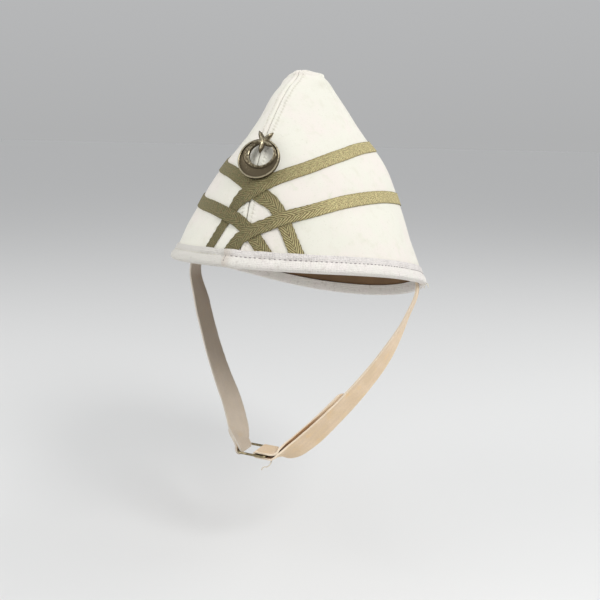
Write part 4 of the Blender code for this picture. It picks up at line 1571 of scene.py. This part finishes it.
def badge_frame():
    """The badge's own axes: across, up the cloth and out, with its small turn."""
    point, around, up, outward = crown_frame(np.array(BADGE_HEIGHT), np.array(0.0))
    axes = Matrix((Vector(around), Vector(up), Vector(outward))).transposed()
    place = Vector(point) + Vector(outward) * BADGE_STAND_OFF + Vector(around) * BADGE_SIDE
    turn = Matrix.Rotation(math.radians(BADGE_TURN), 4, "Y")
    return Matrix.Scale(MM, 4) @ Matrix.Translation(place) @ axes.to_4x4() @ turn


def joined(bm, other, name):
    """The union of two closed meshes, as one bmesh."""
    parts = []
    for index, part in enumerate((bm, other)):
        mesh = bpy.data.meshes.new(f"{name}_{index}")
        part.to_mesh(mesh)
        part.free()
        parts.append(bpy.data.objects.new(mesh.name, mesh))
        bpy.context.scene.collection.objects.link(parts[-1])
    union = parts[0].modifiers.new("union", "BOOLEAN")
    union.operation = "UNION"
    union.object = parts[1]
    bpy.context.view_layer.update()
    graph = bpy.context.evaluated_depsgraph_get()
    result = bmesh.new()
    result.from_mesh(parts[0].evaluated_get(graph).to_mesh())
    for part in parts:
        bpy.data.objects.remove(part)
    return result


def rubbed_share(spot):
    """How much a place on the badge is rubbed: the more, the further it stands up."""
    in_star = (spot - STAR_PLACE).xy.length < STAR_ARM[0] + STAR_MARGIN
    if in_star and spot.z > STAR_EDGE - STAR_EDGE_MARGIN:
        return float(ease((spot.z - STAR_EDGE) / (STAR_RIDGE - STAR_EDGE)))
    if math.hypot(spot.x, spot.y) > GROOVE_RADIUS:
        return float(ease((spot.z - LIP_RUB_FROM) / LIP_RUB_OVER))
    from_hole = (spot.xy - HOLE_SHIFT).length - HOLE_RADIUS
    worn_edge = ease(1 - abs(from_hole - HOLE_EDGE_AT) / HOLE_EDGE_WIDE)
    raised = ease((spot.z - RIDGE_RUB_FROM) / RIDGE_RUB_OVER)
    return float((RIDGE_RUB + HOLE_EDGE_RUB * worn_edge) * raised)


def badge():
    bm = joined(crescent(), star(), "badge")
    worn = bm.verts.layers.float.new("worn")
    for vert in bm.verts:
        vert[worn] = rubbed_share(vert.co)
    bmesh.ops.transform(bm, matrix=badge_frame(), verts=bm.verts)
    print("the badge has", len(bm.faces), "faces")
    made = new_piece(bm, "crescent_and_star", badge_brass, BADGE_SHARP_ANGLE)
    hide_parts("badge")


badge()
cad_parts["badge_post"].material_slots[0].material = wire_brass

# %% [markdown]
# ## Webbing
# The chin strap is close woven cotton webbing, tanned by wear. Fine ribs run across it, two
# paler lines mark its woven edges, and its colour drifts from cream to a warm tan. Inside its
# fold it is painted brown, as shade between the layers, and the short length's inner face is
# painted greyer and darker, as shade. All that could be painted on an image, but patterns stay
# sharp from close by.

# %% Webbing cloth
STRAP_WIDTH = 18.0
STRAP_THICK = 1.6
FOLD_SHADE_REACH = (85.0, 55.0)


def cream_webbing(name, fold_shade_at=None, painted_shade=0.0):
    finish, tree, shader = new_finish(name, 0.85, sheen=0.2)
    along, across = cloth_place(tree)
    from_middle = sum_of(tree, "ABSOLUTE", across)
    weave = times(tree, stripes(tree, along, 0.85), stripes(tree, across, 0.95))
    drift = patches(tree, 12.0, 0.35, 0.70, 4.0)
    tan = blend(tree, drift, (0.77, 0.59, 0.38), (0.84, 0.655, 0.46))
    long_rubs = times(tree, flecks(tree, along, across, 16.0, 2.4), 0.45)
    rubbed = blend(tree, long_rubs, tan, (0.72, 0.545, 0.38))
    stained = blend(tree, patches(tree, 9.0, 0.56, 0.80, 2.0), rubbed, (0.84, 0.60, 0.33))
    streaks = times(tree, flecks(tree, across, along, 2.4, 0.8), 0.16)
    grain = blend(tree, streaks, stained, (0.52, 0.39, 0.26))
    edge = ramp(tree, from_middle, 0.45 * STRAP_WIDTH, 0.49 * STRAP_WIDTH)
    pale = blend(tree, times(tree, edge, 0.6), grain, (0.88, 0.78, 0.63))
    shade = blend(tree, times(tree, weave, 0.22), pale, (0.55, 0.41, 0.28))
    # Painted shade: the whole face is mixed towards a darker grey
    if painted_shade:
        shade = blend(tree, painted_shade, shade, (0.37, 0.375, 0.37))
    # Painted shade: brown near the fold, where the two layers shade each other
    if fold_shade_at is not None:
        from_fold = sum_of(tree, "ABSOLUTE", sum_of(tree, "SUBTRACT", along, fold_shade_at))
        inside = times(tree, ramp(tree, from_fold, *FOLD_SHADE_REACH), 0.92)
        shade = blend(tree, inside, shade, (0.34, 0.165, 0.055))
    tree.links.new(shade, shader.inputs["Base Color"])
    raise_surface(tree, shader, weave, 0.11)
    return finish


webbing_cloth = cream_webbing("cream_webbing")
# Painted shade for the short strap's inner face
shaded_webbing = cream_webbing("shaded_webbing", painted_shade=0.5)
print("the webbing is woven", STRAP_WIDTH, "mm wide")

# %% [markdown]
# ## Chin strap routes
# The strap is in two lengths. The long one leaves the cap on the wearer's left, a little behind
# the middle, and passes under the buckle's first bar to its middle bar. The short one comes
# down the other side to the end bar. Each has a short table of places with the direction of its
# width, read as a smooth curve. A cloth simulation would hang them more freely, but is hard to
# thread through a buckle.

# %% Chin strap routes
BUCKLE_Y = -68.0
BUCKLE_Z = -153.5
LEFT_BAR_X = 4.5
MIDDLE_BAR_X = -4.0
RIGHT_BAR_X = -20.5
WIRE_RADIUS = 1.0
BAR_GAP = 0.3
LAYER_STEP = WIRE_RADIUS + BAR_GAP + STRAP_THICK / 2
# Columns: place in x, y and z, and the direction of the strap's width in x, y and z
STRAP_LEFT = (
    (92.0, 14.0, -46.0, -0.16, 0.90, -0.36),
    (82.5, -8.0, -74.0, 0.14, 0.76, -0.60),
    (68.0, -27.0, -99.0, 0.28, 0.68, -0.68),
    (51.0, -44.5, -122.0, 0.33, 0.60, -0.72),
    (34.0, -57.0, -141.0, 0.36, 0.56, -0.74),
    (24.0, -63.5, -149.5, 0.25, 0.68, -0.68),
    (15.5, -67.0, -154.0, 0.08, 0.90, -0.42),
    (8.5, BUCKLE_Y, BUCKLE_Z - LAYER_STEP, 0.0, 1.0, 0.0),
    (2.5, BUCKLE_Y, BUCKLE_Z - LAYER_STEP, 0.0, 1.0, 0.0),
    (MIDDLE_BAR_X, BUCKLE_Y, BUCKLE_Z - LAYER_STEP, 0.0, 1.0, 0.0),
)
ENTRY_ANGLE = 30.0
RIGHT_ENTRY_X = RIGHT_BAR_X + LAYER_STEP * math.cos(math.radians(ENTRY_ANGLE))
RIGHT_ENTRY_Z = BUCKLE_Z + LAYER_STEP * math.sin(math.radians(ENTRY_ANGLE))
STRAP_RIGHT = (
    (-87.0, -25.0, -41.0, 0.25, 0.93, -0.15),
    (-72.0, -35.0, -71.0, 0.30, 0.93, -0.10),
    (-56.0, -44.0, -98.0, 0.40, 0.90, 0.00),
    (-40.5, -52.0, -121.0, 0.55, 0.83, 0.08),
    (-30.0, -61.0, -136.0, 0.55, 0.83, 0.08),
    (-25.0, -66.0, -142.5, 0.25, 0.97, 0.02),
    (RIGHT_ENTRY_X - 3.0, BUCKLE_Y, RIGHT_ENTRY_Z + 5.2, 0.0, 1.0, 0.0),
    (RIGHT_ENTRY_X, BUCKLE_Y, RIGHT_ENTRY_Z, 0.0, 1.0, 0.0),
)
LEFT_ROOT_TURN = 104.0
RIGHT_ROOT_TURN = -84.0
ROOT_DEPTH = 6.0
ROOT_HEIGHTS = (15.0, 8.0, 1.0)
STRAP_SPACING = 1.3
STRAP_LANES = 10


def strap_root(turn):
    """The sewn end of a strap, flat against the inside of the binding, from the top down."""
    rows = []
    for height in ROOT_HEIGHTS:
        point, around, _, outward = crown_frame(np.array(height), np.array(turn))
        rows.append((*(point - outward * ROOT_DEPTH), *(around * np.sign(around[1]))))
    return tuple(rows)


def strap_route(rows):
    """Middle points and width directions along a strap, evenly spaced on a smooth curve."""
    stations = np.array(rows, float)
    length = run_length(stations[:, :3])
    at = np.linspace(0.0, length[-1], int(round(length[-1] / STRAP_SPACING)) + 1)
    read = np.column_stack([smooth(length, values, at) for values in stations.T])
    return read[:, :3], unit(read[:, 3:])


print("the buckle lies", -BUCKLE_Z, "mm under the rim's middle")

# %% [markdown]
# ## Folds
# The long strap folds round the middle bar and lies back on itself as a tail, and the short one
# is folded round the end bar and hemmed. A fold is part of a circle, and the layer that lies
# back is the end of the strap's own route, moved off it by the gap between two layers. Its
# places could be typed in, but this way it follows every change of the route.

# %% Folds
FOLD_STEPS = 12
CLOSED_GAP = 0.45
CLOSED_LAYERS = STRAP_THICK + CLOSED_GAP
CLOSING_SHARE = 0.3


def turn_round(centre_x, start, sweep):
    """The strap's fold round a bar, as angles in the X-Z plane about the bar's middle."""
    angles = np.radians(np.linspace(start, start + sweep, FOLD_STEPS + 1))[1:]
    points = np.column_stack((
        centre_x + LAYER_STEP * np.cos(angles),
        np.full(angles.shape, BUCKLE_Y),
        BUCKLE_Z + LAYER_STEP * np.sin(angles),
    ))
    return points, np.tile((0.0, 1.0, 0.0), (len(angles), 1))


def laid_back(centres, acrosses, length, held, shift=0.0):
    """A layer that lies back along a run's end, and closes on it clear of the bar."""
    back = centres[::-1]
    across = acrosses[::-1]
    travelled = run_length(back)
    along = unit(np.gradient(back, axis=0))
    normal = unit(np.cross(along, across))
    share = ease((travelled - held) / (CLOSING_SHARE * length))
    apart = 2 * LAYER_STEP + share * (CLOSED_LAYERS - 2 * LAYER_STEP)
    layer = back + normal * apart[:, None] - across * (share * shift)[:, None]
    kept = (travelled > 0.0) & (travelled <= length)
    return layer[kept], across[kept]


print("two closed layers lie", round(CLOSED_LAYERS, 2), "mm apart")

# %% [markdown]
# ## Chin strap
# Each length is one laid sheet with a wall that grows from its middle. It curls a little across
# its width where it hangs free, its edges waver by a fraction of a millimetre, and the tail is
# cut to a rounded tip. The wall gives its far face the second finish, so that one strap can
# carry painted brown shade inside its fold. The colour could be painted on, but a finish is
# easier to change.

# %% Chin strap
TAIL_LENGTH = 96.0
TAIL_SHIFT = 2.1
TAIL_HELD = 11.0
TIP_LENGTH = 8.0
HEM_LENGTH = 18.0
HEM_HELD = 1.0
STRAP_ROUNDING = 0.5
STRAP_CURL = 0.5
ROOT_FIRM = 25.0
END_FIRM = 110.0
FIRM_FADE = 30.0
TIP_LEAST = 0.2
STRAP_FRAY = 0.2
STRAP_FRAY_SIZE = 2.6
STRAP_FRAY_ACROSS = 9


def webbing_place(centres, acrosses, tip):
    """Where the points of a strap's middle layer go."""
    travelled = run_length(centres)
    along = unit(np.gradient(centres, axis=0))
    square = unit(acrosses - along * np.sum(acrosses * along, axis=1, keepdims=True))
    normal = np.cross(along, square)
    to_end = travelled[-1] - travelled
    half = np.full(len(centres), STRAP_WIDTH / 2)
    if tip:
        rounded = 1 - (1 - to_end / tip) ** 2 * (to_end < tip)
        half *= np.sqrt(np.clip(rounded, TIP_LEAST, 1.0))
    free = ease((travelled - ROOT_FIRM) / FIRM_FADE) * ease((to_end - END_FIRM) / FIRM_FADE)

    def place(u, v):
        i = np.rint(u * (len(centres) - 1)).astype(int)
        lane = 2 * v - 1
        curl = STRAP_CURL * free[i] * lane**2
        fray = cloth_noise(travelled[i], STRAP_FRAY_ACROSS * lane, STRAP_FRAY_SIZE)
        aside = (half[i] + STRAP_FRAY * fray) * lane
        points = centres[i] + square[i] * aside[:, None] + curl[:, None] * normal[i]
        return points, np.column_stack((travelled[i], half[i] * lane))

    return place


def webbing(name, cad_name, centres, acrosses, tip, finish, far_finish):
    """A strap with one finish on the face that its grid makes, and another on the far face."""
    bm = laid_sheet(len(centres) - 1, STRAP_LANES, webbing_place(centres, acrosses, tip))
    made = new_piece(bm, name, finish)
    give_wall(made, STRAP_THICK, offset=0.0, rounding=STRAP_ROUNDING)
    made.data.materials.append(far_finish)
    made.modifiers["wall"].material_offset = 1
    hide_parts(cad_name)
    print(name, "is", round(run_length(centres)[-1]), "mm long")


def chin_strap_left():
    centres, acrosses = strap_route(strap_root(LEFT_ROOT_TURN) + STRAP_LEFT)
    fold, fold_across = turn_round(MIDDLE_BAR_X, -90.0, -180.0)
    tail, tail_across = laid_back(centres, acrosses, TAIL_LENGTH, TAIL_HELD, TAIL_SHIFT)
    points = np.concatenate((centres, fold, tail))
    across = np.concatenate((acrosses, fold_across, tail_across))
    # Painted shade: the far face is brown near the fold
    fold_shaded = cream_webbing("fold_shaded_webbing", fold_shade_at=run_length(centres)[-1])
    webbing("strap_long", "chin_strap_left", points, across, TIP_LENGTH, webbing_cloth, fold_shaded)


def chin_strap_right():
    centres, acrosses = strap_route(strap_root(RIGHT_ROOT_TURN) + STRAP_RIGHT)
    fold, fold_across = turn_round(RIGHT_BAR_X, ENTRY_ANGLE, -180.0)
    hem, hem_across = laid_back(centres, acrosses, HEM_LENGTH, HEM_HELD)
    points = np.concatenate((centres, fold, hem))
    across = np.concatenate((acrosses, fold_across, hem_across))
    # Painted shade: the face that the grid makes gets the greyer, darker finish
    webbing("strap_short", "chin_strap_right", points, across, 0.0, shaded_webbing, webbing_cloth)


chin_strap_left()
chin_strap_right()

# %% [markdown]
# ## Buckle
# The buckle is one brass wire, bent to a rounded rectangle, with a middle bar soldered across
# it. A quarter of the frame is made by extruding a circle along half a rail, spinning it round
# the corner and extruding it along half a bar. Two mirrors make the whole frame from it. A
# curve with a round bevel would do as well, but this follows how a wire is bent.

# %% Buckle
RAIL_OFFSET = 10.8
BUCKLE_CORNER = 2.6
WIRE_SIDES = 16
CORNER_STEPS = 8
BAR_RADIUS = WIRE_RADIUS * 0.97
MERGE_DISTANCE = 0.01


def pulled(bm, edges, shift):
    """The far edge loop after a loop is extruded along a straight line."""
    made = bmesh.ops.extrude_edge_only(bm, edges=edges)["geom"]
    bmesh.ops.translate(bm, vec=shift, verts=only(made, bmesh.types.BMVert))
    return [edge for edge in only(made, bmesh.types.BMEdge) if edge.is_boundary]


def wire_frame():
    bm = bmesh.new()
    reach_x = (LEFT_BAR_X - RIGHT_BAR_X) / 2 - BUCKLE_CORNER
    reach_y = RAIL_OFFSET - BUCKLE_CORNER
    upright = Matrix.Rotation(math.radians(90), 4, "Y")
    upright = Matrix.Translation((0.0, RAIL_OFFSET, 0.0)) @ upright
    bmesh.ops.create_circle(bm, segments=WIRE_SIDES, radius=WIRE_RADIUS, matrix=upright)
    rail_end = pulled(bm, bm.edges[:], (reach_x, 0.0, 0.0))
    corner = (reach_x, reach_y, 0.0)
    turned = bmesh.ops.spin(
        bm, geom=rail_end, cent=corner, axis=(0, 0, 1), angle=-math.pi / 2, steps=CORNER_STEPS
    )
    bar_start = only(turned["geom_last"], bmesh.types.BMEdge)
    pulled(bm, bar_start, (0.0, -reach_y, 0.0))
    for axis in ("X", "Y"):
        whole = bm.verts[:] + bm.edges[:] + bm.faces[:]
        bmesh.ops.mirror(bm, geom=whole, axis=axis, merge_dist=MERGE_DISTANCE)
    bmesh.ops.remove_doubles(bm, verts=bm.verts, dist=MERGE_DISTANCE)
    bmesh.ops.recalc_face_normals(bm, faces=bm.faces)
    bmesh.ops.translate(bm, vec=((LEFT_BAR_X + RIGHT_BAR_X) / 2, 0.0, 0.0), verts=bm.verts)
    return bm


def middle_bar():
    bm = bmesh.new()
    across = Matrix.Rotation(math.radians(90), 4, "X")
    across = Matrix.Translation((MIDDLE_BAR_X, 0.0, 0.0)) @ across
    bmesh.ops.create_cone(
        bm, cap_ends=True, segments=WIRE_SIDES, radius1=BAR_RADIUS, radius2=BAR_RADIUS,
        depth=2 * RAIL_OFFSET, matrix=across,
    )
    return bm


def buckle():
    bm = joined(wire_frame(), middle_bar(), "buckle")
    bmesh.ops.translate(bm, vec=(0.0, BUCKLE_Y, BUCKLE_Z), verts=bm.verts)
    bmesh.ops.scale(bm, vec=(MM, MM, MM), verts=bm.verts)
    made = new_piece(bm, "wire_slide", wire_brass)
    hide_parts("buckle")
    print("the buckle is", round(LEFT_BAR_X - RIGHT_BAR_X + 2 * WIRE_RADIUS, 1), "mm long")


buckle()

# %% [markdown]
# ## Loose threads
# Age shows in a few loose ends: a frayed corner at the wearer's left rim and a thread that
# hangs under the buckle. Each is a short path of points with a thin round section. A curve
# object would do too, but a mesh made by extruding a circle keeps its ends closed.

# %% Loose threads
LOOSE_RADIUS = 0.28
HANGING_RADIUS = 0.5
FRAY_TURN = 106.0
LOOSE_SIDES = 6
FRAY_START = (-0.8, 1.2)
# Each fray: how far back it starts, and its steps from there
FRAYS = (
    (0.0, ((1.6, -0.4, 0.6), (2.6, -1.2, -0.2), (3.2, -2.2, -1.6))),
    (2.0, ((0.9, 0.8, -1.2), (1.2, 1.8, -2.8), (2.0, 2.2, -4.2))),
    (-1.5, ((0.4, -0.9, -1.5), (-0.2, -1.4, -3.0), (0.6, -1.8, -4.0))),
)
FRAY_INSET = -0.5
HANGING_THREAD = (
    (9.0, -74.0, -156.9),
    (9.6, -76.4, -158.4),
    (8.4, -77.2, -160.6),
    (6.4, -77.6, -162.2),
    (4.4, -77.8, -162.2),
    (2.8, -78.0, -163.6),
    (1.8, -78.0, -165.4),
)


def loose_thread(bm, path, radius=LOOSE_RADIUS):
    """A closed tube along a path of points in millimetres."""
    points = [Vector(point) * MM for point in path]
    heading = (points[1] - points[0]).normalized()
    place = Matrix.Translation(points[0]) @ heading.to_track_quat("Z", "Y").to_matrix().to_4x4()
    made = bmesh.ops.create_circle(
        bm, cap_ends=True, segments=LOOSE_SIDES, radius=radius * MM, matrix=place
    )
    faces = [made["verts"][0].link_faces[0]]
    beyond = points[-1] * 2 - points[-2]
    for before, spot, after in zip(points, points[1:], points[2:] + [beyond]):
        raised = bmesh.ops.extrude_face_region(bm, geom=faces, use_keep_orig=before is points[0])
        verts = only(raised["geom"], bmesh.types.BMVert)
        faces = only(raised["geom"], bmesh.types.BMFace)
        bmesh.ops.translate(bm, vec=spot - before, verts=verts)
        bent = (spot - before).rotation_difference(after - spot).to_matrix()
        bmesh.ops.rotate(bm, cent=spot, matrix=bent, verts=verts)


def frays():
    """Three short ends that stand out of the rim at the side."""
    up, out = FRAY_START
    edge = on_crown(np.array(up), np.array(FRAY_TURN), np.array(out))
    bm = bmesh.new()
    for back, steps in FRAYS:
        start = edge + np.array((FRAY_INSET, back, 0.0))
        loose_thread(bm, [start] + [start + np.array(step) for step in steps])
    bmesh.ops.recalc_face_normals(bm, faces=bm.faces)
    new_piece(bm, "frays", ivory_thread)


def hanging_thread():
    """The thread that hangs under the buckle."""
    bm = bmesh.new()
    loose_thread(bm, HANGING_THREAD, HANGING_RADIUS)
    bmesh.ops.recalc_face_normals(bm, faces=bm.faces)
    new_piece(bm, "hanging_thread", tan_thread)


tan_thread = thread_finish("tan_thread", (0.74, 0.66, 0.53))
frays()
hanging_thread()
print(len(FRAYS), "frays at the rim, and a thread of", len(HANGING_THREAD), "points")
